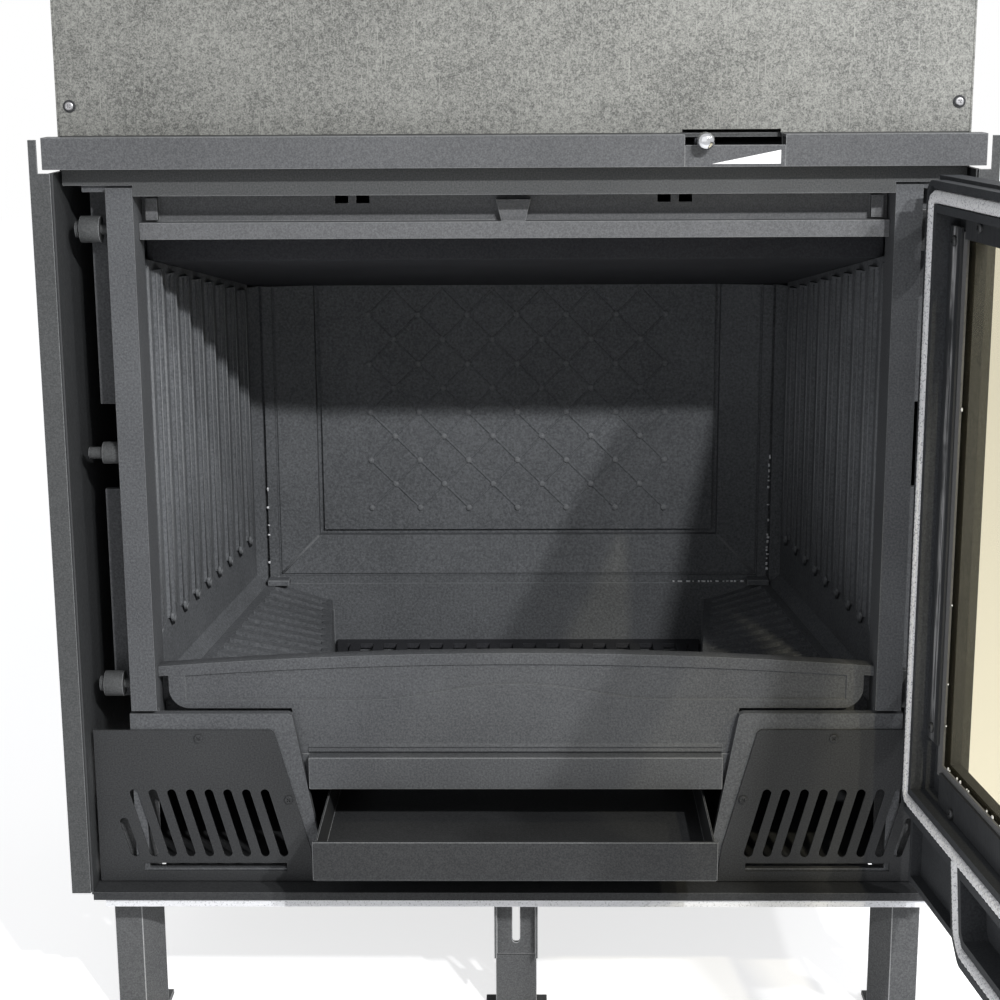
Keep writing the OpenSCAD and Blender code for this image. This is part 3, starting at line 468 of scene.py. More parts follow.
@dataclass(frozen=True)
class Fibre:
    """Braided or pressed mineral fibre."""

    name: str
    colour: Colour
    shade: Colour

    def material(self) -> Material:
        """Builds the material.

        Returns:
            The material.
        """
        g = Graph.named(self.name)
        fine = g.noise(0.0009, 3.0, 0.7)
        specks = g.noise(0.0015, 2.0, 0.6).fade(0.54, 0.66)
        soot = g.noise(0.03, 3.0)
        base = g.mix(specks * 0.7 + soot.swing(0.4) + 0.08, self.colour, self.shade)
        return g.surface(Base_Color=base, Roughness=0.92, Sheen_Weight=0.2,
                         Normal=g.bump(fine, 0.0003, 0.7))


@dataclass(frozen=True)
class StoveGlass:
    """Heat-proof glass with an amber tint."""

    name: str
    tint: Colour

    def material(self) -> Material:
        """Builds the material: clear glass for light that passes, with a glossy skin.

        Returns:
            The material.
        """
        g = Graph.named(self.name)
        clear = g.node("ShaderNodeBsdfTransparent", None, {"Color": self.tint})
        skin = g.node("ShaderNodeBsdfPrincipled", None, {"Base Color": self.tint, "Roughness": 0.04})
        edge = g.node("ShaderNodeFresnel", None, {"IOR": 1.45}).value()
        g.end(g.blend(edge * 0.06, clear, skin))
        return g.owner


class Finish(Enum):
    """Every finish on the object."""

    FRONT = CastPaint("front_paint", (0.064, 0.066, 0.071), (0.155, 0.161, 0.168))
    # The *_EDGE finishes are paler copies of their paints, for broken edges and relief: partly edge wear,
    # partly painted highlight.
    FRONT_EDGE = CastPaint("front_edge", (0.13, 0.135, 0.14), (0.24, 0.245, 0.25), speck=0.5)
    PLATE = CastPaint("plate_paint", (0.080, 0.084, 0.090), (0.193, 0.201, 0.213), grain=0.0022,
                      depth=0.0005, speck=0.45, roughness=0.7)
    PLATE_EDGE = CastPaint("plate_edge", (0.13, 0.136, 0.143), (0.24, 0.247, 0.258), speck=0.5)
    # Near-black soot, also used as painted shade on the air slide, the smoke baffle and the centre grate.
    SOOT_AND_SHADE = CastPaint("sooty_cast_and_painted_shade", (0.030, 0.031, 0.035), (0.063, 0.065, 0.072), roughness=0.85)
    DOOR = CastPaint("door_paint", (0.033, 0.035, 0.039), (0.077, 0.081, 0.087), speck=0.3)
    # Two lighter copies of the sheet paint: painted light on the lintel and on the air deflector's lip.
    LINTEL_SHEET_LIT = SheetPaint("lintel_sheet_paint_painted_light", (0.073, 0.075, 0.079), (0.144, 0.147, 0.153))
    LIP_SHEET_LIT = SheetPaint("lip_sheet_paint_painted_light", (0.093, 0.095, 0.099), (0.167, 0.170, 0.177))
    SHEET = SheetPaint("sheet_paint", (0.057, 0.059, 0.060), (0.111, 0.114, 0.116))
    # A darker copy of the sheet paint: painted shade on the vent plates, base tray, ash pan and their screw
    # heads.
    SHEET_SHADED = SheetPaint("sheet_paint_painted_shade", (0.029, 0.030, 0.032), (0.064, 0.066, 0.068))
    SHEET_EDGE = SheetPaint("sheet_edge", (0.16, 0.165, 0.17), (0.27, 0.275, 0.28))
    LEG = SheetPaint("leg_paint", (0.079, 0.081, 0.084), (0.160, 0.163, 0.166))
    # Much paler than the leg paint: a painted highlight along the legs' folds, with some edge wear.
    LEG_EDGE = SheetPaint("leg_edge", (0.30, 0.305, 0.31), (0.45, 0.455, 0.46))
    ZINC = Galvanised("galvanised", (0.074, 0.075, 0.071), (0.265, 0.267, 0.249), (0.040, 0.042, 0.044))
    STEEL = BareMetal("plain_steel", (0.36, 0.36, 0.37), 0.38)
    DARK_STEEL = BareMetal("blackened_steel", (0.06, 0.062, 0.065), 0.5, 0.6)
    # Glass clamps: a pale band that is partly bare metal, partly painted highlight.
    CLAMP = WornStripWithPaintedSheen("worn_clamp_painted_sheen", (0.030, 0.032, 0.035), (0.75, 0.75, 0.76), (-0.1035, -0.0945),
                      low=0.26)
    CHROME = BareMetal("chrome", (0.55, 0.56, 0.58), 0.12)
    ROPE = Fibre("door_rope_fibre", (0.97, 0.97, 0.98), (0.34, 0.35, 0.38))
    SEAL = Fibre("seal_fibre", (0.90, 0.91, 0.94), (0.55, 0.56, 0.58))
    DARK_SEAL = Fibre("sooty_seal", (0.10, 0.10, 0.10), (0.05, 0.05, 0.05))
    GLASS = StoveGlass("amber_glass", (0.835, 0.80, 0.69))
    GRIP = SheetPaint("handle_grip", (0.020, 0.019, 0.018), (0.045, 0.043, 0.040), roughness=0.6)
    MARK = SheetPaint("white_mark", (0.88, 0.88, 0.88), (0.95, 0.95, 0.95), roughness=0.5)


@dataclass
class Workshop:
    """Makes finishes once each and dresses nodes and pieces with them."""

    made: dict[Finish, Material] = field(default_factory=dict)

    def material(self, finish: Finish) -> Material:
        """The material of a finish, built when first used."""
        if finish not in self.made:
            self.made[finish] = finish.value.material()
        return self.made[finish]

    def paint(self, obj: bpy.types.Object, finish: Finish) -> None:
        """Gives the whole of an object one finish."""
        obj.data.materials.clear()
        obj.data.materials.append(self.material(finish))

    def dress(self, nodes: Iterable[str], finish: Finish, edge: float = 0.0,
              edge_wear_and_highlight: Finish | None = None, flat: bool = True, weld: float = 0.01) -> None:
        """Finishes CAD nodes and breaks their edges.

        Args:
            nodes: The nodes' names.
            finish: Their finish.
            edge: Width of the broken edges in mm, or 0 to leave them sharp.
            edge_wear_and_highlight: The paler finish of the broken edges, if it differs: edge wear and a
                painted highlight.
            flat: Whether each flat face is made one before its edges are broken.
            weld: Distance in mm within which corners become one first.
        """
        for name in nodes:
            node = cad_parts[name]
            self.paint(node, finish)
            if edge_wear_and_highlight:
                node.data.materials.append(self.material(edge_wear_and_highlight))
            if edge:
                break_edges(node, edge, 1 if edge_wear_and_highlight else -1, flat, weld)
            log.info("dressed %s in %s", name, finish.name)

    def piece(self, name: str, mesh: Mesh, body: Body, finish: Finish, slot: str,
              replaces: Sequence[str] = (), smooth: bool = False) -> None:
        """Turns a mesh into a finished piece that rides on a body.

        Args:
            name: The piece's name.
            mesh: Its mesh, in mm.
            body: The body it rides on.
            finish: Its finish.
            slot: Not used.
            replaces: CAD nodes it stands for.
            smooth: Whether its faces are shaded smooth.
        """
        bmesh.ops.recalc_face_normals(mesh, faces=mesh.faces)
        mesh.transform(body.matrix())
        obj = add_mesh(name, mesh)
        for polygon in obj.data.polygons:
            polygon.use_smooth = smooth
        self.paint(obj, finish)
        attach(obj, body.value)
        if replaces:
            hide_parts(*replaces)
        log.info("built %s: %d faces", name, len(obj.data.polygons))


def break_edges(node: bpy.types.Object, width: float, finish: int, flat: bool, join: float) -> None:
    """Rounds a CAD node's sharp edges with modifiers, which leave its own mesh alone.

    Args:
        node: The CAD node.
        width: Width of the broken edges in mm.
        finish: Material slot of the new faces, or -1 for that of their neighbours.
        flat: Whether each flat face is made one first.
        join: Distance in mm within which corners become one.
    """
    weld = node.modifiers.new("weld", "WELD")
    weld.merge_threshold = join * MM
    if flat:
        whole = node.modifiers.new("flat", "DECIMATE")
        whole.decimate_type = "DISSOLVE"
        whole.angle_limit = FLAT_WITHIN
    bevel = node.modifiers.new("edge", "BEVEL")
    bevel.width = width * MM
    bevel.segments = 2
    bevel.limit_method = "ANGLE"
    bevel.angle_limit = SHARP_OVER
    bevel.use_clamp_overlap = True
    bevel.material = finish


# Shapes, in mm


def circle(count: int) -> list[Pair]:
    """Evenly spaced points of the unit circle."""
    return [(math.cos(math.tau * i / count), math.sin(math.tau * i / count)) for i in range(count)]


def axes(out: Vector) -> tuple[Vector, Vector]:
    """Two unit vectors at right angles to a third and to each other."""
    across = out.orthogonal().normalized()
    return across, out.cross(across)


def ring(mesh: Mesh, centre: Vector, across: Vector, up: Vector,
         offsets: Iterable[Pair]) -> list[Corner]:
    """Adds a ring of vertices in the plane of two unit vectors."""
    return [mesh.verts.new(centre + across * a + up * b) for a, b in offsets]


def bridge(mesh: Mesh, first: list[Corner], second: list[Corner], gap: int = 0) -> None:
    """Joins two rings of equal count by a band of faces, with its last gap faces left out."""
    for i in range(len(first) - gap):
        k = (i + 1) % len(first)
        mesh.faces.new((first[i], first[k], second[k], second[i]))


def skin(mesh: Mesh, rings: Sequence[list[Corner]], closed: bool) -> None:
    """Joins rings of equal count in order.

    Args:
        mesh: The mesh.
        rings: The rings, each a list of vertices.
        closed: Whether the last ring joins the first. If not, the ends are capped.
    """
    pairs = list(zip(rings, rings[1:])) + ([(rings[-1], rings[0])] if closed else [])
    for first, second in pairs:
        bridge(mesh, first, second)
    if not closed:
        mesh.faces.new(rings[0][::-1])
        mesh.faces.new(rings[-1])


def turned(mesh: Mesh, centre: Vector, out: Vector,
           profile: Sequence[Pair], count: int = 32) -> None:
    """Adds a turned shape.

    Args:
        mesh: The mesh.
        centre: The point that its profile starts from.
        out: The unit vector of its axis.
        profile: Pairs of a radius and a distance along the axis.
        count: Points round the axis.
    """
    across, up = axes(out)
    turn = circle(count)
    skin(mesh, [ring(mesh, centre + out * along, across, up, [(r * c, r * d) for c, d in turn])
                for r, along in profile], False)


def screw_head(mesh: Mesh, centre: Vector, out: Vector, radius: float, height: float) -> None:
    """Adds a round screw head with a cross recess.

    Args:
        mesh: The mesh.
        centre: The middle of the face it lies on.
        out: The unit vector of its axis.
        radius: The head's radius.
        height: The head's height.
    """
    across, up = axes(out)
    turn = circle(24)
    dome = ((1.0, 0.0), (1.0, 0.55), (0.93, 0.8), (0.78, 0.96), (0.66, 1.0))
    rings = [ring(mesh, centre + out * (height * along), across, up,
                  [(radius * wide * c, radius * wide * d) for c, d in turn]) for wide, along in dome]
    for first, second in zip(rings, rings[1:]):
        bridge(mesh, first, second)
    mesh.faces.new(rings[0][::-1])
    arm, half = 0.52 * radius, 0.12 * radius
    floor, taper = 0.35 * height, 0.8
    cross = [(arm, -half), (arm, half), (half, half), (half, arm), (-half, arm), (-half, half),
             (-arm, half), (-arm, -half), (-half, -half), (-half, -arm), (half, -arm), (half, -half)]
    top = ring(mesh, centre + out * height, across, up, cross)
    low = ring(mesh, centre + out * floor, across, up, [(a * taper, b * taper) for a, b in cross])
    edges = []
    for loop in (rings[-1], top):
        for i in range(len(loop)):
            pair = (loop[i], loop[(i + 1) % len(loop)])
            edges.append(mesh.edges.get(pair) or mesh.edges.new(pair))
    bmesh.ops.triangle_fill(mesh, use_beauty=True, edges=edges)
    bridge(mesh, top, low)
    mesh.faces.new(low)


def rounded(points: Sequence[Pair], radius: float, step: float,
            closed: bool) -> list[Pair]:
    """Rounds a path's corners and spaces its points evenly.

    Args:
        points: The path's corners.
        radius: Distance from each corner at which its curve starts.
        step: Distance between points.
        closed: Whether the path ends where it starts.

    Returns:
        The points of the path.
    """
    count, parts = len(points), 12
    corners = [Vector(p) for p in points]
    dense: list[Vector] = []
    for i, corner in enumerate(corners):
        if not closed and i in (0, count - 1):
            dense.append(corner)
            continue
        before = (corners[i - 1] - corner).normalized() * radius + corner
        after = (corners[(i + 1) % count] - corner).normalized() * radius + corner
        for k in range(parts + 1):
            t = k / parts
            dense.append(before * (1 - t) ** 2 + corner * (2 * t * (1 - t)) + after * t * t)
    if closed:
        dense.append(dense[0])
    spaced, left = [dense[0]], step
    for first, second in zip(dense, dense[1:]):
        span = (second - first).length
        at = left
        while at <= span:
            spaced.append(first + (second - first) * (at / span))
            at += step
        left = at - span
    if closed:
        spaced.pop()
    return [(p.x, p.y) for p in spaced]


def braid(mesh: Mesh, path: Sequence[Pair], y: float, radius: float,
          closed: bool) -> None:
    """Adds a braided rope along a path in the plane of X and Z.

    Args:
        mesh: The mesh.
        path: Evenly spaced points of X and Z.
        y: The rope's own Y.
        radius: The rope's largest radius.
        closed: Whether the path ends where it starts.
    """
    around, strands, twist = 28, 5, 0.16
    core, relief = 0.82, 0.09
    rings, length = [], 0.0
    count = len(path)
    for i, (x, z) in enumerate(path):
        ahead = path[(i + 1) % count] if closed or i + 1 < count else path[i]
        behind = path[i - 1] if closed or i else path[i]
        along = Vector((ahead[0] - behind[0], 0.0, ahead[1] - behind[1])).normalized()
        offsets = []
        for k in range(around):
            turn = math.tau * k / around
            weave = abs(math.sin((strands * turn + twist * length * math.tau) / 2))
            weave += abs(math.sin((strands * turn - twist * length * math.tau) / 2))
            size = radius * (core + relief * weave)
            offsets.append((size * math.cos(turn), size * math.sin(turn)))
        rings.append(ring(mesh, Vector((x, y, z)), TO_REAR, along.cross(TO_REAR), offsets))
        length += math.dist(path[i], path[i + 1]) if i + 1 < count else 0.0
    skin(mesh, rings, closed)


def bead(mesh: Mesh, start: Vector, end: Vector, wide: float, tall: float, out: Vector) -> None:
    """Adds a half-round ridge from point to point.

    Args:
        mesh: The mesh.
        start: One end, on the surface.
        end: The other end.
        wide: Half the ridge's width.
        tall: The ridge's height.
        out: The surface's unit normal.
    """
    parts, root = 6, -0.3
    side = (end - start).normalized().cross(out)
    turns = [math.pi * k / parts for k in range(parts + 1)]
    arc = [(wide * math.cos(turn), tall * math.sin(turn)) for turn in turns]
    shape = [(wide, root)] + arc + [(-wide, root)]
    skin(mesh, [ring(mesh, point, side, out, shape) for point in (start, end)], False)


# Sub-assemblies


@dataclass
class SubAssembly:
    """CAD nodes and pieces that are finished together by a workshop."""

    shop: Workshop


@dataclass
class CastFront(SubAssembly):
    """Cast front with its sheet covers and log retainer, and the screws of the vent plates and hood."""

    edge: float = 0.8
    # The log retainer's broken edges are wider so that their paler paint draws painted highlight lines along
    # its relief.
    retainer_edge: float = 1.4
    cover_edge: float = 0.4
    sheet_edge: float = 0.3
    lintel_weld: float = 0.25
    seat_y: float = 20.0
    hood_y: float = 30.0
    sink: float = 0.1
    vent_screws: tuple[Pair, ...] = ((179.0, 73.0), (248.5, 124.0))
    hood_screw: Pair = (325.0, 610.0)
    washer: tuple[Pair, ...] = ((4.6, 0.0), (4.6, 0.5), (4.2, 0.7))
    washer_seat: float = 0.6

    def build(self) -> None:
        """Dresses the castings and covers of the front and adds the screw heads."""
        dress = self.shop.dress
        dress(["front_frame", "ash_ledge"], Finish.FRONT, self.edge, Finish.FRONT_EDGE)
        dress(["log_retainer"], Finish.FRONT, self.retainer_edge, Finish.FRONT_EDGE)
        # The lintel takes the sheet paint lightened as painted light.
        dress(["lintel"], Finish.LINTEL_SHEET_LIT, self.cover_edge, Finish.SHEET_EDGE, weld=self.lintel_weld)
        dress(["header_rail", "flange_left", "flange_right"], Finish.SHEET, self.sheet_edge,
              Finish.SHEET_EDGE)
        # The deflector takes the sheet paint lightened as painted light.
        dress(["air_deflector"], Finish.LIP_SHEET_LIT, self.cover_edge, Finish.SHEET_EDGE)
        # The vent plates and base tray take the sheet paint darkened as painted shade.
        dress(["vent_plate_left", "vent_plate_right", "base_tray"], Finish.SHEET_SHADED, self.sheet_edge,
              Finish.SHEET)
        dress(["base_seal"], Finish.SEAL)
        self.screws()

    def screws(self) -> None:
        """Adds cross-recessed heads over the plates, and over washers on the hood."""
        mesh, hood = bmesh.new(), bmesh.new()
        for side in SIDES:
            for x, z in self.vent_screws:
                spot = Vector((side * x, self.seat_y - self.sink, z))
                screw_head(mesh, spot, TO_FRONT, radius=3.5, height=1.6)
            x, z = self.hood_screw
            spot = Vector((side * x, self.hood_y - self.sink, z))
            turned(mesh, spot, TO_FRONT, self.washer)
            screw_head(hood, spot + TO_FRONT * self.washer_seat, TO_FRONT, radius=3.2, height=1.6)
        # The vent screw heads take the same darkened copy, painted shade.
        self.shop.piece("panel_screw_heads", mesh, Body.BODY, Finish.SHEET_SHADED, "bright_steel",
                        ["panel_screws"])
        self.shop.piece("hood_screw_heads", hood, Body.BODY, Finish.STEEL, "bright_steel")


@dataclass
class Firebox(SubAssembly):
    """Ribbed lining, hearth and grates."""

    edge: float = 1.0
    field_y: float = 410.0
    lattice_low: float = 218.0
    lattice_high: float = 431.0
    cell: float = 47.0
    cells: int = 3
    plate_front: Pair = (287.0, 58.3)
    plate_back: Pair = (252.0, 386.0)
    plate_rise: float = 497.0
    plate_fall: float = 59.2
    ribs: int = 9
    rib_first: float = 9.0
    rib_pitch: float = 36.7
    rib_low: float = 200.0
    rib_top_gap: float = 8.0
    back_half: float = 241.0
    back_face: float = 400.0
    back_low: float = 143.0
    back_high: float = 434.0
    back_thick: float = 17.5
    back_rim: float = 9.0
    back_drop: float = 4.0
    foot_seal: Pair = (150.0, 232.0)
    foot_seal_z: float = 146.6

    def build(self) -> None:
        """Dresses the firebox castings and adds their relief."""
        dress = self.shop.dress
        dress(["side_plate_left", "side_plate_right", "side_grate_left", "side_grate_right",
               "grate_clips"], Finish.PLATE, self.edge, Finish.PLATE_EDGE)
        dress(["hearth_base"], Finish.PLATE, self.edge, Finish.PLATE_EDGE, flat=False)
        # The grate and baffle are painted near black: soot and painted shade.
        dress(["centre_grate", "smoke_baffle"], Finish.SOOT_AND_SHADE, self.edge)
        dress(["firebox_body", "firebox_roof", "flue_collar"], Finish.PLATE)
        self.back()
        self.lattice()
        self.rib_relief()
        self.sealant()

    def back(self) -> None:
        """Builds the back plate: flat rim, bevel and sunk field, each behind a narrow groove."""
        mesh = bmesh.new()
        # Distances inwards from the plate's edge, with the depth behind its face at each
        profile = [(-self.back_rim, 6.0), (0.0, 6.0), (0.3, 0.0), (9.5, 0.0), (10.0, 2.2), (11.6, 2.2),
                   (12.0, 0.5), (48.4, 8.2), (48.9, 14.5), (53.1, 14.5), (53.6, 10.0)]

        def hoop(x: float, y: float, z: float) -> list[Corner]:
            """Adds the corners of a hoop that is open at the top."""
            corners = ((-x, y, self.back_high), (-x, y, z), (x, y, z), (x, y, self.back_high))
            return [mesh.verts.new(p) for p in corners]

        loops = [hoop(self.back_half - inset, self.back_face + depth,
                      self.back_low + max(inset, -self.back_drop)) for inset, depth in profile]
        for first, second in zip(loops, loops[1:]):
            bridge(mesh, first, second, 1)
        mesh.faces.new(loops[-1])
        behind = hoop(self.back_half + self.back_rim, self.back_face + self.back_thick,
                      self.back_low - self.back_drop)
        bridge(mesh, loops[0], behind, 1)
        mesh.faces.new(behind)
        mesh.faces.new([v[0] for v in loops] + [v[3] for v in loops[::-1]] + [behind[3], behind[0]])
        self.shop.piece("back_plate_cast", mesh, Body.BODY, Finish.PLATE, "plate_iron", ["back_plate"])

    def side_point(self, side: float, depth: float, along: float, z: float) -> Vector:
        """Finds a point from a side plate's own coordinates.

        Args:
            side: -1 for the left plate, 1 for the right.
            depth: Distance behind the face between its ribs, below 0 on the ribs.
            along: Distance from its front edge.
            z: Height.

        Returns:
            The point in the casing's frame.
        """
        (x0, y0), (x1, y1) = self.plate_front, self.plate_back
        turn = math.atan2(x0 - x1, y1 - y0)
        x = x0 + depth * math.cos(turn) - along * math.sin(turn)
        return Vector((side * x, y0 + depth * math.sin(turn) + along * math.cos(turn), z))

    def rib_relief(self) -> None:
        """Adds the thin lines along the ribs of the side plates and the lobes at their feet, painted pale as
        painted highlights on the ridges.
        """
        # Shift from the rib's middle, depth, half width and height of the foot of each line
        lines = ((0.0, -4.9, 0.8, 2.0), (-6.5, -2.9, 0.6, 2.0), (6.5, -2.9, 0.6, 2.0),
                 (18.3, 0.1, 0.9, 6.0), (14.0, 0.1, 0.5, 6.0))
        # Depth, shift and height of each lobe's ends, with its half width and height
        lobes = (((-3.0, -8.0, 3.0), (-1.0, 2.0, -7.0), 1.6, 2.0),
                 ((-1.0, 2.0, -7.0), (-2.0, 9.0, 1.0), 1.3, 1.6))
        length = math.dist(self.plate_front, self.plate_back)
        mesh = bmesh.new()
        for side in SIDES:
            inner, outer = (self.side_point(side, depth, 0.0, 0.0) for depth in (-1.0, 0.0))
            out = (inner - outer).normalized()
            for i in range(self.ribs):
                along = self.rib_first + i * self.rib_pitch
                top = self.plate_rise - self.plate_fall * along / length - self.rib_top_gap
                for shift, depth, wide, foot in lines:
                    ends = [self.side_point(side, depth, along + shift, z)
                            for z in (self.rib_low + foot, top)]
                    bead(mesh, *ends, wide, 0.8 * wide + 0.3, out)
                for start, end, wide, tall in lobes:
                    ends = [self.side_point(side, depth, along + shift, self.rib_low + rise)
                            for depth, shift, rise in (start, end)]
                    bead(mesh, *ends, wide, tall, out)
        # The paler edge paint on these lines and lobes is painted highlight.
        self.shop.piece("rib_relief", mesh, Body.BODY, Finish.PLATE_EDGE, "plate_iron", smooth=True)

    def lattice(self) -> None:
        """Adds a lattice of thin ridges with pellets to the back plate, and mitres to its rim; the pellets
        and mitres take the paler edge paint as painted highlights.
        """
        pellet = [(3.2, 0.0), (3.1, 0.7), (2.5, 1.4), (1.4, 1.9), (0.3, 2.0)]
        # Inset and depth of each mitre's two ends, with its half width
        mitres = (((12.5, 0.6), (48.0, 8.2), 1.3), ((1.0, 0.6), (9.0, 0.0), 1.0))
        ridges, pellets = bmesh.new(), bmesh.new()
        half = self.cells * self.cell
        low, high = self.lattice_low, self.lattice_high
        reach, rows = 4 * self.cells, int((high - low) / self.cell * 2)
        for lean in SIDES:
            for k in range(-reach, reach + 1):
                ends = self.clip(k * self.cell, lean, half, low, high)
                if ends:
                    spots = [Vector((x, self.field_y, z)) for x, z in ends]
                    bead(ridges, *spots, wide=1.1, tall=0.9, out=TO_FRONT)
        for i in range(-2 * self.cells, 2 * self.cells + 1):
            for j in range(rows + 1):
                x, z = i * self.cell / 2, low + j * self.cell / 2
                if (i + j) % 2 == 0 and z < high - 4:
                    turned(pellets, Vector((x, self.field_y + 0.2, z)), TO_FRONT, pellet, count=16)
        for side in SIDES:
            for *ends, wide in mitres:
                spots = [Vector((side * (self.back_half - inset), self.back_face + depth,
                                 self.back_low + inset)) for inset, depth in ends]
                bead(pellets, *spots, wide, tall=0.9, out=TO_FRONT)
        self.shop.piece("back_plate_lattice", ridges, Body.BODY, Finish.PLATE, "plate_iron")
        # Pellets and mitres in the paler edge paint: painted highlights.
        self.shop.piece("back_plate_pellets", pellets, Body.BODY, Finish.PLATE_EDGE, "plate_iron",
                        smooth=True)

    @staticmethod
    def clip(start: float, lean: float, half: float, low: float,
             high: float) -> tuple[Pair, Pair] | None:
        """Ends of a line at 45 degrees inside a rectangle.

        Args:
            start: Its X at the rectangle's foot.
            lean: 1 if it rises to the right, -1 if to the left.
            half: Half the rectangle's width.
            low: The rectangle's foot.
            high: The rectangle's top.

        Returns:
            Its two ends, or None if it misses the rectangle or hardly meets it.
        """
        from_x, to_x = sorted((start, start + lean * (high - low)))
        from_x, to_x = max(from_x, -half), min(to_x, half)
        if to_x - from_x < 4.0:
            return None
        return ((from_x, low + lean * (from_x - start)), (to_x, low + lean * (to_x - start)))

    def sealant(self) -> None:
        """Adds broken lines of pale sealant in the corners of the lining."""
        mesh = bmesh.new()
        chance = random.Random(11)
        front = self.back_face - 0.2
        for side, low, high, gap in ((1.0, 158.0, 192.0, 4.0), (1.0, 192.0, 268.0, 16.0),
                                     (-1.0, 165.0, 240.0, 26.0)):
            z = low
            while z < high:
                tall = chance.uniform(1.0, 4.0)
                x = side * (self.back_half + chance.uniform(-0.5, 0.5))
                bead(mesh, Vector((x, front, z)), Vector((x, front, z + tall)), chance.uniform(0.6, 1.3),
                     chance.uniform(0.6, 1.3), Vector((-side * 0.4, -1.0, 0.0)).normalized())
                z += tall + chance.uniform(0.6, gap)
        x, end = self.foot_seal
        y, z = front - 0.6, self.foot_seal_z
        while x < end:
            wide = chance.uniform(1.0, 4.5)
            bead(mesh, Vector((x, y, z)), Vector((x + wide, y, z)), chance.uniform(0.6, 1.1), 1.0,
                 Vector((0.0, -1.0, 1.0)).normalized())
            x += wide + chance.uniform(0.8, 4.0)
        self.shop.piece("corner_sealant", mesh, Body.BODY, Finish.SEAL, "fibre", smooth=True)


@dataclass
class Casing(SubAssembly):
    """Sheet casing, hood, outlets and legs."""

    edge: float = 0.2
    leg_edge: float = 0.5

    def build(self) -> None:
        """Dresses the sheet work."""
        self.shop.dress(["casing_left", "casing_right", "casing_back", "hood_front", "hood_top",
                         "air_spigot_left", "air_spigot_right"], Finish.ZINC, self.edge)
        self.shop.dress(["leg_front_left", "leg_front_right", "leg_middle", "foot_middle",
                         "leg_rear_left", "leg_rear_right"], Finish.LEG, self.leg_edge, Finish.LEG_EDGE)
        self.shop.dress(["leg_bolts"], Finish.STEEL)


@dataclass
class Door(SubAssembly):
    """Door casting with its glass, rope, clamps, hinges and latch."""

    edge: float = 0.8
    clamp_edge: float = 0.3
    latch_edge: float = 0.4
    grip_edge: float = 0.5
    rope_y: float = 14.7
    rope_r: float = 5.0
    rope_x: float = 289.0
    rope_top: float = 546.5
    rope_mid: float = 96.0
    rope_low: float = 33.0
    rope_step: float = 0.9
    branch_x: Pair = (177.0, 166.0)
    branch_cut: float = 10.0
    screw_y: float = 7.2
    screw_spots: tuple[Pair, ...] = ((265.0, 160.0), (265.0, 517.0), (215.0, 112.0), (215.0, 530.5))
    glass_back: float = 3.4
    glass_box: tuple[float, float, float, float] = (-245.0, 245.0, 138.0, 520.0)
    foot_tufts: int = 46
    side_tufts: int = 4

    def build(self) -> None:
        """Dresses the door and adds its rope, screws and frayed seal."""
        dress = self.shop.dress
        dress(["door_frame"], Finish.DOOR, self.edge, Finish.FRONT_EDGE)
        dress(["glass_seal"], Finish.DARK_SEAL)
        dress(["door_glass"], Finish.GLASS)
        # The clamps' pale band is partly a painted highlight.
        dress(["glass_clamps"], Finish.CLAMP, self.clamp_edge)
        dress(["hinge_pins"], Finish.DARK_STEEL)
        dress(["latch_bar", "hinge_brackets", "latch_pins", "latch_roller_top", "latch_roller_bottom"],
              Finish.SHEET, self.latch_edge, Finish.SHEET_EDGE)
        dress(["handle_spindle"], Finish.STEEL)
        dress(["door_handle"], Finish.GRIP, self.grip_edge)
        self.rope()
        self.screws()
        self.fray()

    def rope(self) -> None:
        """Adds the braided rope in its channel: a frame, and a branch round the foot."""
        mesh = bmesh.new()
        x, top, mid, low = self.rope_x, self.rope_top, self.rope_mid, self.rope_low
        outer, inner = self.branch_x
        cut = self.branch_cut
        frame_path = [(-x, top), (x, top), (x, mid), (-x, mid)]
        branch_path = [(-outer, mid - 3.0), (-inner, low + cut), (-inner + cut, low), (inner - cut, low),
                       (inner, low + cut), (outer, mid - 3.0)]
        for path, bend, closed in ((frame_path, 8.0, True), (branch_path, 5.0, False)):
            braid(mesh, rounded(path, bend, self.rope_step, closed), self.rope_y, self.rope_r, closed)
        self.shop.piece("braided_rope", mesh, Body.DOOR, Finish.ROPE, "rope", ["door_rope"], smooth=True)

    def screws(self) -> None:
        """Adds the cross-recessed heads that hold the clamp strips."""
        mesh = bmesh.new()
        for side in SIDES:
            for x, z in self.screw_spots:
                spot = Vector((side * x, self.screw_y, z))
                screw_head(mesh, spot, TO_REAR, radius=4.0, height=2.4)
        self.shop.piece("clamp_screw_heads", mesh, Body.DOOR, Finish.DARK_STEEL, "bright_steel",
                        ["clamp_screws"])

    def fray(self) -> None:
        """Adds tufts of fibre along the inner edge of the glass's seal, at its foot and sides."""
        mesh = bmesh.new()
        chance = random.Random(5)
        left, right, low, high = self.glass_box
        runs = (((left, low), (right, low), self.foot_tufts),
                ((right, low), (right, high), self.side_tufts),
                ((left, low), (left, high), self.side_tufts))
        for (x0, z0), (x1, z1), count in runs:
            for _ in range(count):
                t = chance.random()
                spot = Vector((x0 + (x1 - x0) * t, self.glass_back, z0 + (z1 - z0) * t))
                wide = chance.uniform(0.6, 1.5)
                tuft = [(wide, 0.0), (wide * 0.9, 0.5), (wide * 0.3, 0.9)]
                turned(mesh, spot, TO_REAR, tuft, count=7)
        self.shop.piece("seal_tufts", mesh, Body.DOOR, Finish.SEAL, "fibre", smooth=True)


@dataclass
class Drawer(SubAssembly):
    """Ash drawer and its runners."""

    edge: float = 0.4

    def build(self) -> None:
        """Dresses the drawer."""
        # The drawer takes the sheet paint darkened as painted shade.
        self.shop.dress(["ash_pan", "ash_pan_front"], Finish.SHEET_SHADED, self.edge, Finish.SHEET_EDGE)
        self.shop.dress(["pan_runners"], Finish.STEEL)


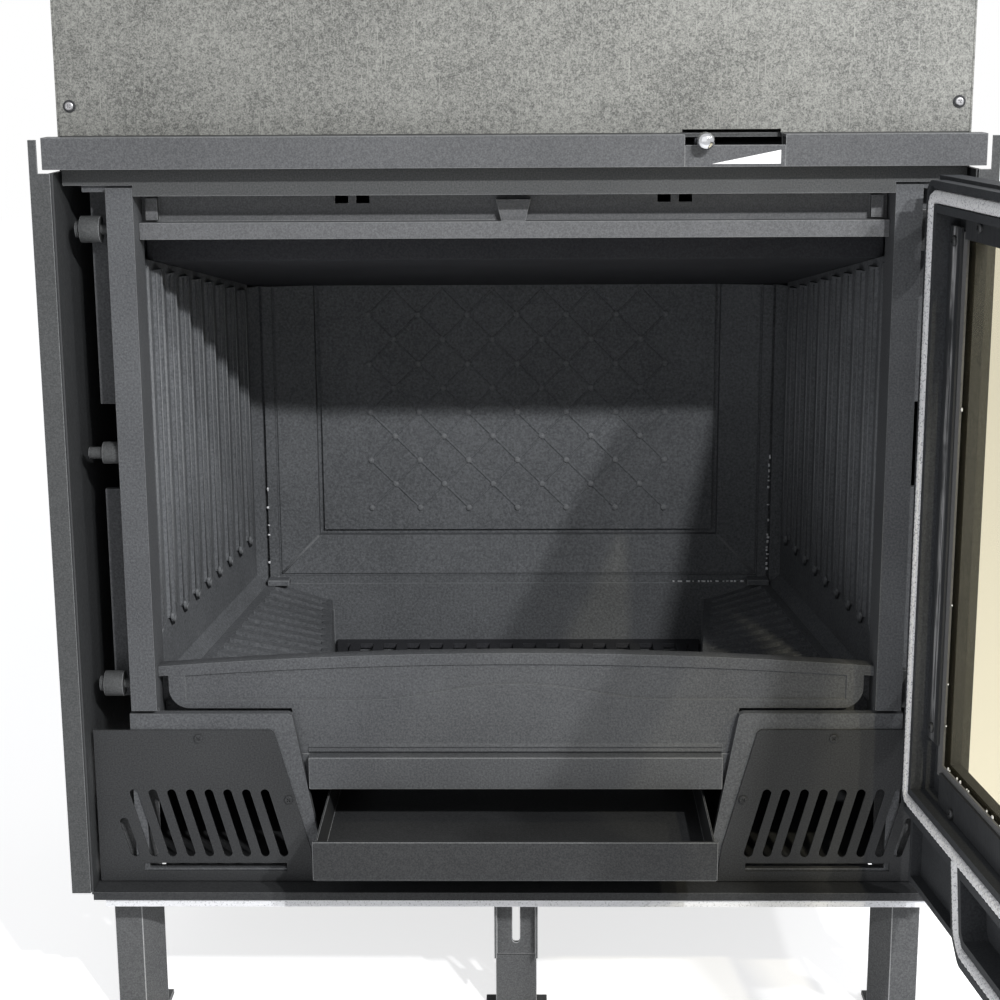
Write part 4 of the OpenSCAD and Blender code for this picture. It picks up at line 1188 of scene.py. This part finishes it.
@dataclass
class AirControl(SubAssembly):
    """Slide and knob of the air control, with a white wedge on the lintel."""

    knob_y: float = -1.0
    knob_profile: tuple[Pair, ...] = (
        (2.5, 0.0), (4.6, 0.0), (4.6, 1.6), (5.4, 2.0), (6.1, 2.4), (6.35, 3.2), (6.35, 7.2), (6.1, 7.6),
        (5.9, 7.9), (6.1, 8.2), (6.35, 8.7), (6.2, 10.2), (5.6, 11.6), (4.4, 12.6), (2.6, 13.0), (0.4, 13.0))
    wedge_x: Pair = (143.4, 192.8)
    wedge_z: Pair = (567.6, 577.4)
    wedge_thick: float = 0.25

    def build(self) -> None:
        """Dresses the slide, and adds the knob and the white wedge."""
        # The slide is painted near black as painted shade inside the slot.
        self.shop.dress(["air_slide"], Finish.SOOT_AND_SHADE)
        low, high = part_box("air_knob")
        x, z = (low.x + high.x) / 2 / MM, (low.z + high.z) / 2 / MM - LEG_H
        mesh = bmesh.new()
        turned(mesh, Vector((x, self.knob_y, z)), TO_FRONT, self.knob_profile, count=40)
        self.shop.piece("control_knob", mesh, Body.AIR, Finish.CHROME, "knob_chrome", ["air_knob"],
                        smooth=True)
        self.scale()

    def scale(self) -> None:
        """Adds a white wedge on the lintel's face."""
        mesh = bmesh.new()
        (x0, x1), (z0, z1) = self.wedge_x, self.wedge_z
        wedge = ((x0, z0), (x1, z0), (x1, z1))
        rings = [[mesh.verts.new((x, y, z)) for x, z in wedge] for y in (-self.wedge_thick, 0.0)]
        skin(mesh, rings, False)
        self.shop.piece("lintel_white_wedge", mesh, Body.BODY, Finish.MARK, "painted_sheet")


@dataclass
class Studio:
    """Floor, backdrop, lamps and the photograph's camera."""

    focal_px: float = 1922.36
    pitch: float = 12.9807
    yaw: float = 0.9254
    roll: float = 0.3355
    place: tuple[float, float, float] = (12.2, -1403.4, 643.48)
    frame_px: float = 1000.0
    sensor: float = 36.0
    floor_half: float = 8.0
    floor_glow: float = 0.72
    room_light: float = 0.31

    def build(self) -> None:
        """Sets the stage."""
        self.camera()
        self.floor()
        self.lamps()

    def camera(self) -> None:
        """Adds the camera at the photograph's angle."""
        data = bpy.data.cameras.new("camera")
        data.sensor_width = self.sensor
        data.sensor_fit = "HORIZONTAL"
        data.lens = self.focal_px / self.frame_px * self.sensor
        data.clip_start = 0.05
        data.clip_end = 50.0
        camera = add_object("camera", data)
        pitch, yaw, roll = (math.radians(a) for a in (self.pitch, self.yaw, self.roll))
        flat = math.cos(pitch)
        ahead = Vector((-math.sin(yaw) * flat, math.cos(yaw) * flat, -math.sin(pitch)))
        level = Vector((math.cos(yaw), math.sin(yaw), 0.0))
        down = ahead.cross(level)
        right = math.cos(roll) * level + math.sin(roll) * down
        below = -math.sin(roll) * level + math.cos(roll) * down
        turn = Matrix((right, -below, -ahead)).transposed()
        camera.matrix_world = Matrix.Translation(row(*self.place)) @ turn.to_4x4()
        bpy.context.scene.camera = camera

    def floor(self) -> None:
        """Adds the pale floor, with a glow for the rays that show it."""
        mesh = bmesh.new()
        bmesh.ops.create_grid(mesh, x_segments=1, y_segments=1, size=self.floor_half)
        floor = add_mesh("floor", mesh)
        g = Graph.named("floor_paint")
        lit = g.node("ShaderNodeBsdfDiffuse", None, {"Color": (0.93, 0.93, 0.94)})
        glow = g.node("ShaderNodeEmission", None, {"Color": WHITE, "Strength": self.floor_glow})
        both = g.node("ShaderNodeAddShader", None, {0: lit.node.outputs[0], 1: glow.node.outputs[0]})
        g.end(g.blend(self.seen(g), lit, both))
        floor.data.materials.append(g.owner)

    @staticmethod
    def seen(g: Graph) -> Value:
        """1 for rays that show the surround: those of the camera, of reflections and through glass."""
        path = g.node("ShaderNodeLightPath")
        return path.value("Is Camera Ray").most(path.value("Is Glossy Ray")).most(
            path.value("Is Transmission Ray"))

    def lamps(self) -> None:
        """Adds two hard keys, a side lamp, a broad fill, a beam on the door and the surround."""
        self.lamp("key", (1.19, -2.18, 1.83), (0.0, 0.2, 0.45), size=0.05, watts=30.0)
        self.lamp("second_key", (0.71, -1.84, 1.61), (0.05, 0.356, 0.40), size=0.05, watts=26.0)
        self.lamp("side", (1.86, -1.36, 1.96), (0.14, -0.04, 0.70), size=0.12, watts=18.0)
        self.lamp("front", (-0.35, -2.4, 1.35), (0.0, 0.1, 0.4), size=1.6, watts=5.0)
        beam = self.lamp("door_light", (-1.6, -0.95, 0.7), (0.36, -0.40, 0.36), size=0.2, watts=48.0,
                         kind="SPOT")
        beam.spot_size = math.radians(17.0)
        beam.spot_blend = 0.6
        g = Graph(bpy.data.worlds.new("surround"))
        white = g.node("ShaderNodeBackground", None, {"Color": WHITE, "Strength": 1.0})
        soft = g.node("ShaderNodeBackground", None,
                      {"Color": (0.95, 0.97, 1.0), "Strength": self.room_light})
        g.end(g.blend(self.seen(g), soft, white), "ShaderNodeOutputWorld")
        bpy.context.scene.world = g.owner

    @staticmethod
    def lamp(name: str, place: Point, target: Point, size: float, watts: float,
             kind: str = "AREA") -> bpy.types.Light:
        """Adds a lamp.

        Args:
            name: The lamp's name.
            place: Where it stands, in metres.
            target: The point it faces.
            size: The side of its square or the radius of its bulb, in metres.
            watts: Its power.
            kind: Blender's kind of lamp.

        Returns:
            The lamp's settings.
        """
        data = bpy.data.lights.new(name, kind)
        setattr(data, "size" if kind == "AREA" else "shadow_soft_size", size)
        data.energy = watts
        lamp = add_object(name, data)
        lamp.location = place
        lamp.rotation_euler = (Vector(target) - Vector(place)).to_track_quat("-Z", "Y").to_euler()
        return data


def main() -> None:
    """Builds the sub-assemblies in order, then the stage."""
    logging.basicConfig(level=logging.INFO, format="%(name)s: %(message)s")
    bpy.context.scene.view_settings.view_transform = "Standard"
    shop = Workshop()
    for kind in (CastFront, Firebox, Casing, Door, Drawer, AirControl):
        kind(shop).build()
    Studio().build()


if __name__ == "__main__":
    main()
